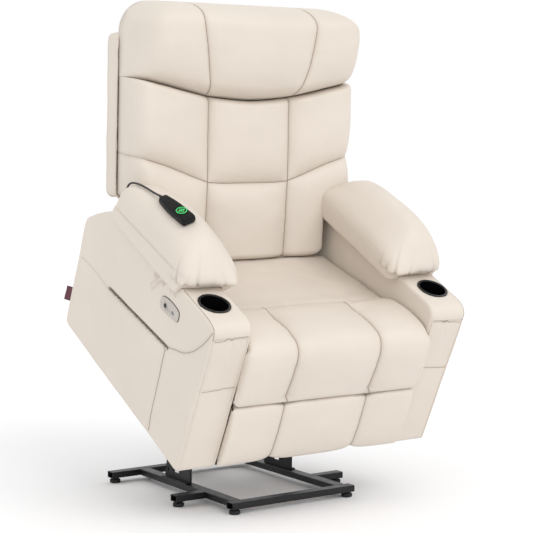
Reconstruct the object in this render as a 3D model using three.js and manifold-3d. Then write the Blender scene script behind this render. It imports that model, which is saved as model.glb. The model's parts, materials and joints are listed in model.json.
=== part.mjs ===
// Power lift recliner chair, shown with the lift base raised: the whole chair is tipped forward.
// Millimetres, +Z up. The front faces -Y and the sitter's right hand is at -X.
// Origin: on the floor, under the middle of the chair's bounding box.
//
// The chair itself is modelled level, in a group of its own: x across, y from the front edge
// towards the rear, z from the bottom edge of the arms. That group is then tilted by the lift.
import * as THREE from 'three';
import { mergeVertices } from 'three/addons/utils/BufferGeometryUtils.js';
import Module from 'manifold-3d';

const wasm = await Module();
wasm.setup();

// ---------------------------------------------------------------- driving dimensions

const DEGREE = Math.PI / 180;
const SEATED_GAP = 0.3;        // between pieces that touch
const PIVOT_CLEARANCE = 0.4;   // radial, between a pivot pin and its eye
const PIN_END_GAP = 0.5;       // between a pin's end and the ear that it stops short of
const SIDES = [['left', -1], ['right', 1]];   // as seen by someone facing the chair

// Lift: where the chair's lower front edge is, from the front of the base, at both ends of travel.
const LIFT = {
  tilt: 27.6 * DEGREE,
  raisedHeight: 160,
  loweredHeight: 41,
  loweredSetback: 47,
};

// Welded base frame of flat steel tube, on round glides.
const BASE = {
  railOuterX: 206,
  railWidth: 36,
  tubeHeight: 20,
  wall: 2,
  frontY: 54,
  frontBarReach: 220,
  outriggerReach: 306,
  outriggerY: 233,
  rearY: 638,
  footHeight: 16,
  footRadius: 17,
  footInset: 17,
  footNeckRadius: 8,
  footNeckHeight: 4,
};

const LINKAGE = {
  bracketX: 184,
  bracketThickness: 6,
  bracketFrontY: 350,
  bracketRearY: 506,
  frontPivot: [300, 205],      // y, z of the front link's pivot on the base bracket
  rearPivot: [440, 211],
  frontReach: 700,             // from the centre of the lift's motion to the pivot on the chair
  rearReach: 1010,
  frontLinkX: 176,             // inside the bracket, so that the two links can cross
  rearLinkX: 193,              // outside it
  linkThickness: 5,
  linkWidth: 32,
  pinRadius: 8,
  pinHeadRadius: 12,
  pinHeadThickness: 2.5,
  pushPin: [130, 18],          // y, z on the chair, where the actuator's rod is pinned
  pushEarGap: 44,
  earGap: 26,
  earThickness: 5,
};

const ACTUATOR = {
  tubeRadius: 18,
  tubeWall: 4,
  rodRadius: 10,
  eyeRadius: 12,
  eyeWidth: 20,
  pinRadius: 5,
  motorRadius: 24,
  motorLength: 78,
  gearboxRadius: 30,
  gearboxWidth: 44,
  rodOverlap: 62,              // rod left inside the tube at full stroke
  retractedGap: 14,            // from the tube's mouth to the eye when retracted
};

// Steel carriage under the seat, which the lift links carry.
const CARRIAGE = {
  railX: 166,
  railThickness: 6,
  railFrontY: 66,
  railRearY: 768,
  railTop: 40,
  flangeWidth: 24,
  tubeSize: 25,
  tubeWall: 2.5,
  frontTubeY: 126,
  frontTubeZ: 53,
  frontTubeReach: 182,
  middleTubeY: 560,
  middleTubeZ: 160,
  rearTubeY: 748,
  rearTubeZ: 75,
};

// Side plates of the reclining mechanism and the footrest linkage that they carry.
const MECHANISM = {
  plateX: 284,
  plateThickness: 4,
  linkThickness: 4,
  linkWidth: 26,
  outerLinkX: 278.5,
  midLinkX: 272.5,
  innerLinkX: 266.5,
  pinRadius: 5,
  shaftRadius: 13,
  shaftWall: 2.5,
  drivePivot: [104, 207],      // y, z in the chair's own level frame, as are the next ones
  elbow: [248, 62],
  boardPivot: [50, 124],
  boardPivotRise: 60,          // from the board's lower pivot to its upper one
  controlShare: 157,           // along the drive link, where the control link is pinned
};

const BACK = {
  pivot: [655, 335],
  lean: 24.5 * DEGREE,
  recline: 38 * DEGREE,        // how much further it leans when reclined
  lowerHalfWidth: 278.7,
  upperHalfWidth: 383,
  wingBottom: 165,
  bottom: -60,
  coverTop: 655,
  coverCornerRadius: 24,
  headTop: 750,
  headCornerRadius: 92,
  coverFront: 36,
  coverRear: 100,
  coverWall: 7,
  frameFront: 44,
  frameRear: 74,
  frameMember: 44,
  postWidth: 34,
  cushionHalfWidth: 376,
  cushionLowerHalfWidth: 256,
  headSeam: 457,
  bracketX: 279,
  bracketThickness: 4,
  leverPin: [672, 190],        // y, z in the chair's frame
  leverPinX: 122,
  padReliefDepth: -66,
  padReliefGap: 32,            // between an arm pad's top rear corner and the wing above it
};
const RECLINE_PIVOT = [290, 200];

const ARM = {
  innerX: 314,
  outerX: 440,
  edgeRadius: 8,
  topHeight: 484,
  padInnerX: 262,
  padOuterX: 457,
  padLip: 24,
  padRearY: 634,
  padRearRise: 96,             // of the pad's top rear corner above the arm's top
  cupX: 383,
  cupY: 120,
  cupRingRadius: 47.5,
  cupRadius: 43,
  cupWall: 3,
  cupDepth: 72,
  ringHeight: 3,
};

const SEAT = {
  sideGap: 5,                  // between the cushion and each arm
  rearY: 567,
  rollGap: 6,                  // from the footrest up to the front roll's lower edge
  deckHeight: 268,
  panelThickness: 20,
  panelFrontY: 52,
  panelRearY: 560,
  panelSideGap: 3,             // between the panel and each arm
  bearerHeight: 21.7,          // of each bearer below the panel
  bearerWidth: 40,
  bearerSetback: 30,           // of the bearers' front ends behind the footrest's drive pivot
};
const bearerBottom = SEAT.deckHeight - SEATED_GAP - SEAT.panelThickness - SEAT.bearerHeight;

const FOOTREST = {
  halfWidth: 304,
  bottom: 14,
  top: 216,
  padFront: -27,
  padRear: 20,
  boardThickness: 15,
  boardHalfWidth: 294,
  boardInset: 9,
};

const POCKET = {
  rearY: 583,
  frontY: 200,
  bottom: 56,
  rearTop: 246,
  frontTop: 281,
  depth: 14,
  panel: 4,
  mouth: 13,
};
const USB = {
  rear: [297, ARM.topHeight - 82],
  front: [178, ARM.topHeight - 98],
  bulge: 34,
  thickness: 4,
  slotWidth: 14,
  slotHeight: 7,
  slotDepth: 16,
  buttonRadius: 6.5,
  buttonTravel: 2,
};
const HANDSET = {
  length: 152,
  rearHalfWidth: 13,
  frontHalfWidth: 29,
  thickness: 23,
  ringRadius: 19,
  ringTravel: 1.5,
  position: [52 - ARM.padOuterX, 375, ARM.topHeight + 140.6],
  turn: 6.5 * DEGREE,
  roll: -18.2 * DEGREE,
  pitch: -2.5 * DEGREE,
};
const CABLE_DIAMETER = 6;

// ---------------------------------------------------------------- materials

const paint = (color, roughness, metalness) => new THREE.MeshStandardMaterial({ color, roughness, metalness });
const cream = paint(0xe9dfd0, 0.55, 0);
const blackSteel = paint(0x16171a, 0.4, 0.6);
const zincSteel = paint(0x9da1a6, 0.35, 0.9);
const blackPlastic = paint(0x121214, 0.45, 0);
const glossPlastic = paint(0x0b0b0c, 0.12, 0);
const greyPlastic = paint(0xb9b6b1, 0.5, 0);
const blackRubber = paint(0x1b1b1c, 0.8, 0);
const plywood = paint(0xb98d5c, 0.7, 0);
const greenLight = paint(0x1fae4b, 0.4, 0);

// ---------------------------------------------------------------- shape helpers

const { cos, sin, atan2, hypot, tan } = Math;

// Outline through corner points [a, b, radius]; the radius is optional, and no more than its edges allow.
function outline(corners) {
  const shape = new THREE.Shape();
  const count = corners.length;
  corners.forEach(([a, b, wanted = 0], i) => {
    const before = corners[(i + count - 1) % count];
    const after = corners[(i + 1) % count];
    const shorter = Math.min(hypot(a - before[0], b - before[1]), hypot(a - after[0], b - after[1]));
    const radius = Math.min(wanted, 0.49 * shorter);
    const inward = towards([a, b], before, radius);
    const onward = towards([a, b], after, radius);
    if (i === 0) shape.moveTo(...inward);
    else shape.lineTo(...inward);
    if (radius > 0) shape.quadraticCurveTo(a, b, ...onward);
  });
  shape.closePath();
  return shape;
}

function towards([a, b], [c, d], distance) {
  const length = hypot(c - a, d - b);
  return [a + (c - a) * distance / length, b + (d - b) * distance / length];
}

function circle(a, b, radius, sides = 12) {
  const shape = new THREE.Shape();
  for (let i = 0; i < sides; i += 1) {
    const angle = 2 * Math.PI * i / sides;
    const corner = [a + radius * cos(angle), b + radius * sin(angle)];
    if (i === 0) shape.moveTo(...corner);
    else shape.lineTo(...corner);
  }
  shape.closePath();
  return shape;
}

function rectangle(a0, b0, a1, b1, radius = 0) {
  return outline([[a0, b0, radius], [a1, b0, radius], [a1, b1, radius], [a0, b1, radius]]);
}

// Round-ended bar from the origin along +a.
function taperedBar(length, startRadius, endRadius) {
  const shape = new THREE.Shape();
  const turn = Math.acos((startRadius - endRadius) / length);
  shape.absarc(0, 0, startRadius, turn, 2 * Math.PI - turn, false);
  shape.absarc(length, 0, endRadius, -turn, turn, false);
  shape.closePath();
  return shape;
}

// The same with parallel sides, and an eye at each listed distance.
function barWithEyes(length, width, eyes, eyeRadius) {
  const shape = taperedBar(length, width / 2, width / 2);
  eyes.forEach((at) => shape.holes.push(circle(at, 0, eyeRadius)));
  return shape;
}

const ALONG_X = new THREE.Matrix4().makeBasis(
  new THREE.Vector3(0, 1, 0), new THREE.Vector3(0, 0, 1), new THREE.Vector3(1, 0, 0));
const ALONG_Y = new THREE.Matrix4().makeBasis(
  new THREE.Vector3(1, 0, 0), new THREE.Vector3(0, 0, 1), new THREE.Vector3(0, -1, 0));

function extruded(shape, depth, bevel, segments) {
  const geometry = new THREE.ExtrudeGeometry(shape, {
    depth: depth - 2 * bevel,
    bevelEnabled: bevel > 0,
    bevelThickness: bevel,
    bevelSize: bevel,
    bevelOffset: -bevel,
    bevelSegments: 2,
    curveSegments: segments,
  });
  return geometry.translate(0, 0, bevel);
}

// The outline is in (y, z) and the piece runs from x0 to x1, in either order.
function slabX(shape, x0, x1, bevel = 0, segments = 3) {
  const geometry = extruded(shape, Math.abs(x1 - x0), bevel, segments).applyMatrix4(ALONG_X);
  return geometry.translate(Math.min(x0, x1), 0, 0);
}

// The outline is in (x, z) and the piece runs from y0 to y1.
function slabY(shape, y0, y1, bevel = 0, segments = 3) {
  return extruded(shape, y1 - y0, bevel, segments).applyMatrix4(ALONG_Y).translate(0, y1, 0);
}

function slabZ(shape, z0, z1, bevel = 0, segments = 3) {
  return extruded(shape, z1 - z0, bevel, segments).translate(0, 0, z0);
}

function rodX(radius, x0, x1, y = 0, z = 0, sides = 12) {
  return slabX(circle(y, z, radius, sides), x0, x1);
}

function ring(outerRadius, innerRadius, a = 0, b = 0, sides = 16) {
  const shape = circle(a, b, outerRadius, sides);
  shape.holes.push(circle(a, b, innerRadius, sides));
  return shape;
}

function squareTube(size, wall) {
  const half = size / 2;
  const shape = rectangle(-half, -half, half, half, 2);
  shape.holes.push(rectangle(wall - half, wall - half, half - wall, half - wall));
  return shape;
}

function solid(geometry) {
  const bare = geometry.clone();
  bare.deleteAttribute('normal');
  bare.deleteAttribute('uv');
  const merged = mergeVertices(bare, 1e-4);
  return new wasm.Manifold(new wasm.Mesh({
    numProp: 3,
    vertProperties: new Float32Array(merged.attributes.position.array),
    triVerts: new Uint32Array(merged.index.array),
  }));
}

function geometryOf(manifold) {
  const { vertProperties, triVerts } = manifold.getMesh();
  const geometry = new THREE.BufferGeometry();
  geometry.setAttribute('position', new THREE.BufferAttribute(new Float32Array(vertProperties), 3));
  geometry.setIndex(new THREE.BufferAttribute(new Uint32Array(triVerts), 1));
  geometry.computeVertexNormals();
  return geometry;
}

const join = (...parts) => geometryOf(parts.map(solid).reduce((whole, part) => whole.add(part)));
const cut = (body, ...tools) => geometryOf(
  tools.map(solid).reduce((rest, tool) => rest.subtract(tool), solid(body)));
const common = (...parts) => geometryOf(parts.map(solid).reduce((whole, part) => whole.intersect(part)));

function piece(name, geometry, material, group) {
  const mesh = new THREE.Mesh(geometry, material);
  mesh.name = name;
  group.add(mesh);
  return mesh;
}

// A group whose origin is on a pivot and whose +y runs at the given angle in the y-z plane.
function pivoted(name, [y, z], angle, parent) {
  const group = new THREE.Group();
  group.name = name;
  group.position.set(0, y, z);
  group.rotation.x = angle;
  parent.add(group);
  return group;
}

// ---------------------------------------------------------------- lift geometry

// Centre of the single turn that takes the lowered chair to the raised one.
function liftCentre() {
  const dy = -LIFT.loweredSetback;
  const dz = LIFT.raisedHeight - LIFT.loweredHeight;
  const spread = 2 * tan(LIFT.tilt / 2);
  return [LIFT.loweredSetback / 2 - dz / spread, (LIFT.raisedHeight + LIFT.loweredHeight) / 2 + dy / spread];
}

// A link that turns about basePivot fits both ends of travel if its far pivot, on the lowered chair,
// is seen from the lift centre half the tilt below basePivot.
function chairPivot(basePivot, reach) {
  const [cy, cz] = liftCentre();
  const angle = atan2(basePivot[1] - cz, basePivot[0] - cy) - LIFT.tilt / 2;
  return [cy + reach * cos(angle) - LIFT.loweredSetback, cz + reach * sin(angle) - LIFT.loweredHeight];
}

function raised([y, z]) {
  return [y * cos(LIFT.tilt) - z * sin(LIFT.tilt),
    LIFT.raisedHeight + y * sin(LIFT.tilt) + z * cos(LIFT.tilt)];
}

const between = ([y0, z0], [y1, z1]) => ({ length: hypot(y1 - y0, z1 - z0), angle: atan2(z1 - z0, y1 - y0) });
const polar = ([y, z], radius, angle) => [y + radius * cos(angle), z + radius * sin(angle)];

const frontChairPivot = chairPivot(LINKAGE.frontPivot, LINKAGE.frontReach);
const rearChairPivot = chairPivot(LINKAGE.rearPivot, LINKAGE.rearReach);
const frontLink = between(LINKAGE.frontPivot, raised(frontChairPivot));
const rearLink = between(LINKAGE.rearPivot, raised(rearChairPivot));

const tubeTop = BASE.footHeight + BASE.tubeHeight;
const rearBarY = BASE.rearY + BASE.railWidth / 2;
const motorPivot = [rearBarY, tubeTop + 26];
const liftStrut = between(motorPivot, raised(LINKAGE.pushPin));
const liftStrutRetracted = between(motorPivot,
  [LINKAGE.pushPin[0] + LIFT.loweredSetback, LINKAGE.pushPin[1] + LIFT.loweredHeight]).length;

// ---------------------------------------------------------------- base frame

function flatTube() {
  const { railWidth, tubeHeight, wall } = BASE;
  const shape = rectangle(-railWidth / 2, 0, railWidth / 2, tubeHeight, 3);
  shape.holes.push(rectangle(wall - railWidth / 2, wall, railWidth / 2 - wall, tubeHeight - wall, 2));
  return shape;
}

const tubeAlongX = (x0, x1, y) => slabX(flatTube(), x0, x1).translate(0, y, BASE.footHeight);
const tubeAlongY = (y0, y1, x) => slabY(flatTube(), y0, y1).translate(x, 0, BASE.footHeight);

function clevis(pivotZ, gap, earZ0, y) {
  const ear = outline([[y - 20, earZ0], [y + 20, earZ0], [y + 12, pivotZ + 12, 9], [y - 12, pivotZ + 12, 9]]);
  ear.holes.push(circle(y, pivotZ, ACTUATOR.pinRadius + PIVOT_CLEARANCE));
  return [-1, 1].map((side) => slabX(ear, side * gap / 2, side * (gap / 2 + LINKAGE.earThickness)));
}

function baseBracket(side) {
  const { frontPivot, rearPivot, bracketX, bracketThickness } = LINKAGE;
  const foot = tubeTop + SEATED_GAP;
  const plate = outline([
    [LINKAGE.bracketRearY, foot, 4],
    [rearPivot[0] + 24, rearPivot[1] + 20, 20],
    [frontPivot[0] - 22, frontPivot[1] + 20, 20],
    [frontPivot[0] - 20, frontPivot[1] - 24, 16],
    [LINKAGE.bracketFrontY, foot + 44, 12],
    [LINKAGE.bracketFrontY, foot, 4],
  ]);
  const middle = (LINKAGE.bracketFrontY + LINKAGE.bracketRearY) / 2;
  plate.holes.push(rectangle(middle - 10, foot + 20, middle + 26, foot + 30, 4.9));
  plate.holes.push(rectangle(middle - 44, foot + 64, middle + 26, foot + 104, 12));
  plate.holes.push(circle(LINKAGE.bracketRearY - 22, foot + 26, 6));
  const outerX = bracketX + bracketThickness;
  const flange = new THREE.BoxGeometry(20, LINKAGE.bracketRearY - LINKAGE.bracketFrontY - 8, 4);
  flange.translate(side * (outerX + 4), middle, foot + 2);
  // The front pin stands inwards from the plate and the rear one outwards.
  const innerHead = LINKAGE.frontLinkX - SEATED_GAP;
  const outerHead = LINKAGE.rearLinkX + LINKAGE.linkThickness + SEATED_GAP;
  const studs = [
    stud(side, bracketX + 1, innerHead, innerHead - LINKAGE.pinHeadThickness, frontPivot),
    stud(side, outerX - 1, outerHead, outerHead + LINKAGE.pinHeadThickness, rearPivot),
  ].flat();
  return join(slabX(plate, side * bracketX, side * outerX), flange, ...studs);
}

// Pin from rootX to headX with a hexagonal head from there to endX, all on one side of the chair.
function stud(side, rootX, headX, endX, [y, z]) {
  const overlap = Math.sign(endX - headX) * 0.5;
  return [rodX(LINKAGE.pinRadius, side * rootX, side * (headX + overlap), y, z),
    rodX(LINKAGE.pinHeadRadius, side * headX, side * endX, y, z, 6)];
}

function buildBase(root) {
  const railX = BASE.railOuterX - BASE.railWidth / 2;
  const frontBarY = BASE.frontY + BASE.railWidth / 2;
  const railFront = BASE.frontY + BASE.railWidth + SEATED_GAP;
  const railRear = BASE.rearY - SEATED_GAP;
  const outriggerY = BASE.outriggerY + BASE.railWidth / 2;
  piece('base_front_bar', tubeAlongX(-BASE.frontBarReach, BASE.frontBarReach, frontBarY), blackSteel, root);
  const rearTube = tubeAlongX(-BASE.outriggerReach, BASE.outriggerReach, rearBarY);
  const ears = clevis(motorPivot[1], LINKAGE.earGap, tubeTop - 1, rearBarY);
  piece('base_rear_bar', join(rearTube, ...ears), blackSteel, root);
  for (const [label, side] of SIDES) {
    const rail = tubeAlongY(railFront, railRear, side * railX);
    const stub = tubeAlongX(side * (BASE.railOuterX - 1), side * BASE.outriggerReach, outriggerY);
    piece(`base_rail_${label}`, join(rail, stub), blackSteel, root);
    piece(`base_bracket_${label}`, baseBracket(side), blackSteel, root);
    const footX = BASE.outriggerReach - BASE.footInset;
    const places = [['front', BASE.frontBarReach - BASE.footInset, frontBarY],
      ['middle', footX, outriggerY], ['rear', footX, rearBarY]];
    for (const [where, x, y] of places) {
      const foot = piece(`foot_${where}_${label}`, glide(), blackRubber, root);
      foot.position.set(side * x, y, 0);
    }
  }
}

function glide() {
  const { footRadius, footHeight, footNeckRadius, footNeckHeight } = BASE;
  const top = footHeight - SEATED_GAP;
  const shoulder = top - footNeckHeight;
  const profile = [[0, 0], [footRadius - 2, 0], [footRadius, 2], [footRadius, shoulder - 2],
    [footRadius - 3, shoulder], [footNeckRadius, shoulder], [footNeckRadius, top], [0, top]];
  const lathe = new THREE.LatheGeometry(profile.map(([r, z]) => new THREE.Vector2(r, z)), 16);
  return lathe.rotateX(Math.PI / 2);
}

// ---------------------------------------------------------------- lift links and actuator

function buildLift(root) {
  const { frontLinkX, rearLinkX, linkThickness, linkWidth, pinRadius } = LINKAGE;
  const eye = pinRadius + PIVOT_CLEARANCE;
  const front = pivoted('front_link_body', LINKAGE.frontPivot, frontLink.angle, root);
  const rear = pivoted('rear_link_body', LINKAGE.rearPivot, rearLink.angle, root);
  for (const [label, side] of SIDES) {
    const frontShape = barWithEyes(frontLink.length, linkWidth, [0, frontLink.length], eye);
    const frontBar = slabX(frontShape, side * frontLinkX, side * (frontLinkX + linkThickness));
    piece(`lift_front_link_${label}`, frontBar, blackSteel, front);
    // The rear link's far pivot is left open: its pin stops short of the carriage rail.
    const rearShape = barWithEyes(rearLink.length, linkWidth, [0], eye);
    const rearBar = slabX(rearShape, side * rearLinkX, side * (rearLinkX + linkThickness));
    const railFace = CARRIAGE.railX + CARRIAGE.railThickness;
    const pinEnd = railFace + PIVOT_CLEARANCE;
    const pin = rodX(pinRadius, side * pinEnd, side * (rearLinkX + 1), rearLink.length, 0);
    piece(`lift_rear_link_${label}`, join(rearBar, pin), blackSteel, rear);
  }

  const strut = pivoted('lift_motor_body', motorPivot, liftStrut.angle, root);
  buildActuator('lift', strut, liftStrut.length, liftStrutRetracted, LINKAGE.pushEarGap);
}

// The strut group's +y runs along the actuator, from its motor pivot to the rod's eye. The rod's pin is
// left open: it stops short of the ears, which are earGap apart.
function buildActuator(label, strut, length, retracted, earGap) {
  const { tubeRadius, tubeWall, rodRadius, eyeRadius, eyeWidth, pinRadius, gearboxRadius } = ACTUATOR;
  const tubeEnd = retracted - eyeRadius - ACTUATOR.retractedGap;
  const tubeStart = 34;
  const rearPinReach = LINKAGE.earGap / 2 - PIN_END_GAP;
  const rearEye = join(rodX(eyeRadius, -eyeWidth / 2, eyeWidth / 2),
    rodX(pinRadius, -rearPinReach, rearPinReach));
  const gearbox = slabX(outline([[25, -18, 8], [38, -gearboxRadius, 10], [72, -gearboxRadius, 12],
    [86, -tubeRadius - 3, 8], [86, tubeRadius + 3, 8], [38, tubeRadius + 3, 10], [25, 14, 8]]),
  -ACTUATOR.gearboxWidth / 2, ACTUATOR.gearboxWidth / 2);
  const neck = new THREE.BoxGeometry(eyeWidth, 27, 16).translate(0, 15, 0);
  const motor = slabX(circle(54, -5, ACTUATOR.motorRadius, 20), -18,
    -18 - ACTUATOR.motorLength, 2.5);
  const barrel = slabY(circle(0, 0, tubeRadius), tubeStart + 10, tubeEnd);
  const bore = slabY(circle(0, 0, tubeRadius - tubeWall), tubeStart, tubeEnd + 5);
  const housing = cut(join(rearEye, neck, gearbox, motor, barrel), bore);
  piece(`${label}_motor_housing`, housing, blackPlastic, strut);

  const rodGroup = new THREE.Group();
  rodGroup.name = `${label}_rod_body`;
  strut.add(rodGroup);
  const rod = slabY(circle(0, 0, rodRadius), tubeEnd - ACTUATOR.rodOverlap, length - 4);
  const eye = rodX(eyeRadius, -eyeWidth / 2, eyeWidth / 2, length, 0);
  const pinReach = earGap / 2 - PIN_END_GAP;
  const pin = rodX(pinRadius, -pinReach, pinReach, length, 0);
  piece(`${label}_rod`, join(rod, eye, pin), zincSteel, rodGroup);
}

// ---------------------------------------------------------------- seat carriage and mechanism

function carriageRail(side) {
  const { railX, railThickness, railFrontY, railRearY, railTop, tubeSize, middleTubeY } = CARRIAGE;
  const [fy, fz] = frontChairPivot;
  const frontSeat = CARRIAGE.frontTubeZ - tubeSize / 2 - SEATED_GAP;
  const rearSeat = CARRIAGE.rearTubeZ - tubeSize / 2 - SEATED_GAP;
  const middleSeat = CARRIAGE.middleTubeZ - tubeSize / 2 - SEATED_GAP;
  const half = tubeSize / 2 + 6;
  const plate = outline([
    [railFrontY, 2, 4], [railRearY, 2, 6], [railRearY, rearSeat, 3], [CARRIAGE.rearTubeY - half, rearSeat, 4],
    [CARRIAGE.rearTubeY - half - 26, railTop, 8], [middleTubeY + 30, railTop, 8],
    [middleTubeY + half, middleSeat, 3], [middleTubeY - half, middleSeat, 3], [middleTubeY - 30, railTop, 8],
    [fy + 46, railTop, 8], [fy + 14, fz + 16, 12], [fy - 14, fz + 16, 12], [fy - 46, railTop, 8],
    [CARRIAGE.frontTubeY + half, frontSeat, 2], [CARRIAGE.frontTubeY - half, frontSeat, 2],
    [railFrontY, railTop - 8, 6],
  ]);
  for (const at of [0.14, 0.29, 0.68, 0.8]) {
    const y = railFrontY + at * (railRearY - railFrontY);
    plate.holes.push(rectangle(y - 20, 14, y + 20, 28, 6.9));
  }
  const outer = side * (railX + railThickness);
  const flange = new THREE.BoxGeometry(CARRIAGE.flangeWidth, railRearY - railFrontY - 14, 4);
  flange.translate(side * (railX - CARRIAGE.flangeWidth / 2 + 2), (railRearY + railFrontY) / 2, 4);
  const linkPin = rodX(LINKAGE.pinRadius, outer - side, side * (LINKAGE.bracketX - 0.5), fy, fz);
  return join(slabX(plate, side * railX, outer), flange, linkPin);
}

function mechanismPlate(side) {
  const { plateX, plateThickness, drivePivot, pinRadius } = MECHANISM;
  const [py, pz] = BACK.pivot;
  const { middleTubeY, middleTubeZ, rearTubeY, rearTubeZ, tubeSize } = CARRIAGE;
  const half = tubeSize / 2;
  const [dy, dz] = drivePivot;
  const plate = outline([
    [dy - 22, dz - 20, 14], [dy + 34, dz - 26, 14], [220, 112, 30],
    [600, 112, 30], [rearTubeY - 24, rearTubeZ - 20, 8], [rearTubeY + 24, rearTubeZ - 20, 8],
    [rearTubeY + 20, rearTubeZ + 34, 20], [py + 26, 262, 20], [py + 20, pz + 20, 19], [py - 20, pz + 20, 19],
    [py - 34, bearerBottom - SEATED_GAP, 26],
    [dy + SEAT.bearerSetback - 10, bearerBottom - SEATED_GAP, 10], [dy - 18, dz + 14, 14],
  ]);
  for (const y of [240, 400]) plate.holes.push(rectangle(y, 132, y + 136, 190, 8));
  const tubes = [[middleTubeY, middleTubeZ], [rearTubeY, rearTubeZ]];
  tubes.forEach(([y, z]) => plate.holes.push(
    rectangle(y - half - SEATED_GAP, z - half - SEATED_GAP, y + half + SEATED_GAP, z + half + SEATED_GAP)));
  const inner = side * (plateX + 1);
  const headX = MECHANISM.midLinkX - 2;
  const driveStud = rodX(pinRadius + 2, inner, side * (headX - 1), ...drivePivot);
  const driveHead = rodX(pinRadius + 4, side * (headX - 4), side * headX, ...drivePivot, 6);
  const backStud = rodX(pinRadius + 2, inner, side * (BACK.bracketX - 1), ...BACK.pivot);
  const body = slabX(plate, side * plateX, side * (plateX + plateThickness));
  return join(body, driveStud, driveHead, backStud);
}

function crossTube(y, z, reach) {
  const { tubeSize, tubeWall } = CARRIAGE;
  return slabX(squareTube(tubeSize, tubeWall), -reach, reach).translate(0, y, z);
}

// Two ears under the front tube, on each side of the lift actuator's rod.
function pushEars() {
  const { frontTubeY, frontTubeZ, tubeSize } = CARRIAGE;
  const [y, z] = LINKAGE.pushPin;
  const top = frontTubeZ - tubeSize / 2 + 2;
  const ear = outline([[frontTubeY - 12, top], [y - 14, z - 4, 10], [y - 6, z - 13, 8], [y + 6, z - 13, 8],
    [y + 14, z - 4, 10], [frontTubeY + 12, top]]);
  ear.holes.push(circle(y, z, ACTUATOR.pinRadius + PIVOT_CLEARANCE));
  const inner = LINKAGE.pushEarGap / 2;
  return [-1, 1].map((side) => slabX(ear, side * inner, side * (inner + LINKAGE.earThickness)));
}

function buildCarriage(chair) {
  const { frontTubeY, frontTubeZ, frontTubeReach, middleTubeY, middleTubeZ, rearTubeY, rearTubeZ } = CARRIAGE;
  const reach = ARM.innerX - SEATED_GAP;
  const front = join(crossTube(frontTubeY, frontTubeZ, frontTubeReach), ...pushEars());
  piece('carriage_front_tube', front, blackSteel, chair);
  piece('carriage_middle_tube', crossTube(middleTubeY, middleTubeZ, reach), blackSteel, chair);
  piece('carriage_rear_tube', crossTube(rearTubeY, rearTubeZ, reach), blackSteel, chair);
  for (const [label, side] of SIDES) {
    piece(`carriage_rail_${label}`, carriageRail(side), blackSteel, chair);
    piece(`mechanism_plate_${label}`, mechanismPlate(side), zincSteel, chair);
  }
}

// ---------------------------------------------------------------- footrest

const driveLink = between(MECHANISM.drivePivot, MECHANISM.elbow);
const carryLink = between(MECHANISM.elbow, MECHANISM.boardPivot);
const controlPivot = polar(MECHANISM.drivePivot, MECHANISM.controlShare, driveLink.angle);
const upperBoardPivot = [MECHANISM.boardPivot[0], MECHANISM.boardPivot[1] + MECHANISM.boardPivotRise];
const controlLink = between(controlPivot, upperBoardPivot);

function buildFootrest(chair) {
  const { linkThickness, linkWidth, pinRadius, outerLinkX, midLinkX, innerLinkX } = MECHANISM;
  const eye = pinRadius + PIVOT_CLEARANCE;
  const drive = pivoted('drive_link_body', MECHANISM.drivePivot, driveLink.angle, chair);
  const carry = pivoted('carry_link_body', MECHANISM.elbow, carryLink.angle, chair);
  const control = pivoted('control_link_body', controlPivot, controlLink.angle, chair);
  const board = pivoted('footrest_body', MECHANISM.boardPivot, 0, chair);
  for (const [label, side] of SIDES) {
    const driveShape = barWithEyes(driveLink.length, linkWidth, [], eye);
    driveShape.holes.push(circle(0, 0, pinRadius + 2 + PIVOT_CLEARANCE));
    const driveBar = slabX(driveShape, side * midLinkX, side * (midLinkX + linkThickness));
    const elbowEnd = outerLinkX + linkThickness + 0.3;
    const elbowPin = rodX(pinRadius, side * (midLinkX + 1), side * elbowEnd, driveLink.length, 0);
    const controlPin = rodX(pinRadius, side * (innerLinkX - 0.3), side * (midLinkX + 1),
      MECHANISM.controlShare, 0);
    piece(`footrest_drive_link_${label}`, join(driveBar, elbowPin, controlPin), zincSteel, drive);

    const carryShape = barWithEyes(carryLink.length, linkWidth, [0, carryLink.length], eye);
    const carryBar = slabX(carryShape, side * outerLinkX, side * (outerLinkX + linkThickness));
    piece(`footrest_carry_link_${label}`, carryBar, zincSteel, carry);

    // The control link's far pivot is left open: its pin stops short of the board's bracket.
    const controlShape = barWithEyes(controlLink.length, linkWidth, [0], eye);
    const controlBar = slabX(controlShape, side * innerLinkX, side * (innerLinkX + linkThickness));
    const openPin = rodX(pinRadius, side * (innerLinkX + 1), side * (midLinkX - 0.4), controlLink.length, 0);
    piece(`footrest_control_link_${label}`, join(controlBar, openPin), zincSteel, control);
  }
  const half = midLinkX - SEATED_GAP;
  const shaftShape = ring(MECHANISM.shaftRadius, MECHANISM.shaftRadius - MECHANISM.shaftWall);
  piece('footrest_drive_shaft', slabX(shaftShape, -half, half), zincSteel, drive);
  const [by, bz] = MECHANISM.boardPivot;
  piece('footrest_board', footrestBoard().translate(0, -by, -bz), plywood, board);
  piece('footrest_pad', footrestPad().translate(0, -by, -bz), cream, board);
}

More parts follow.
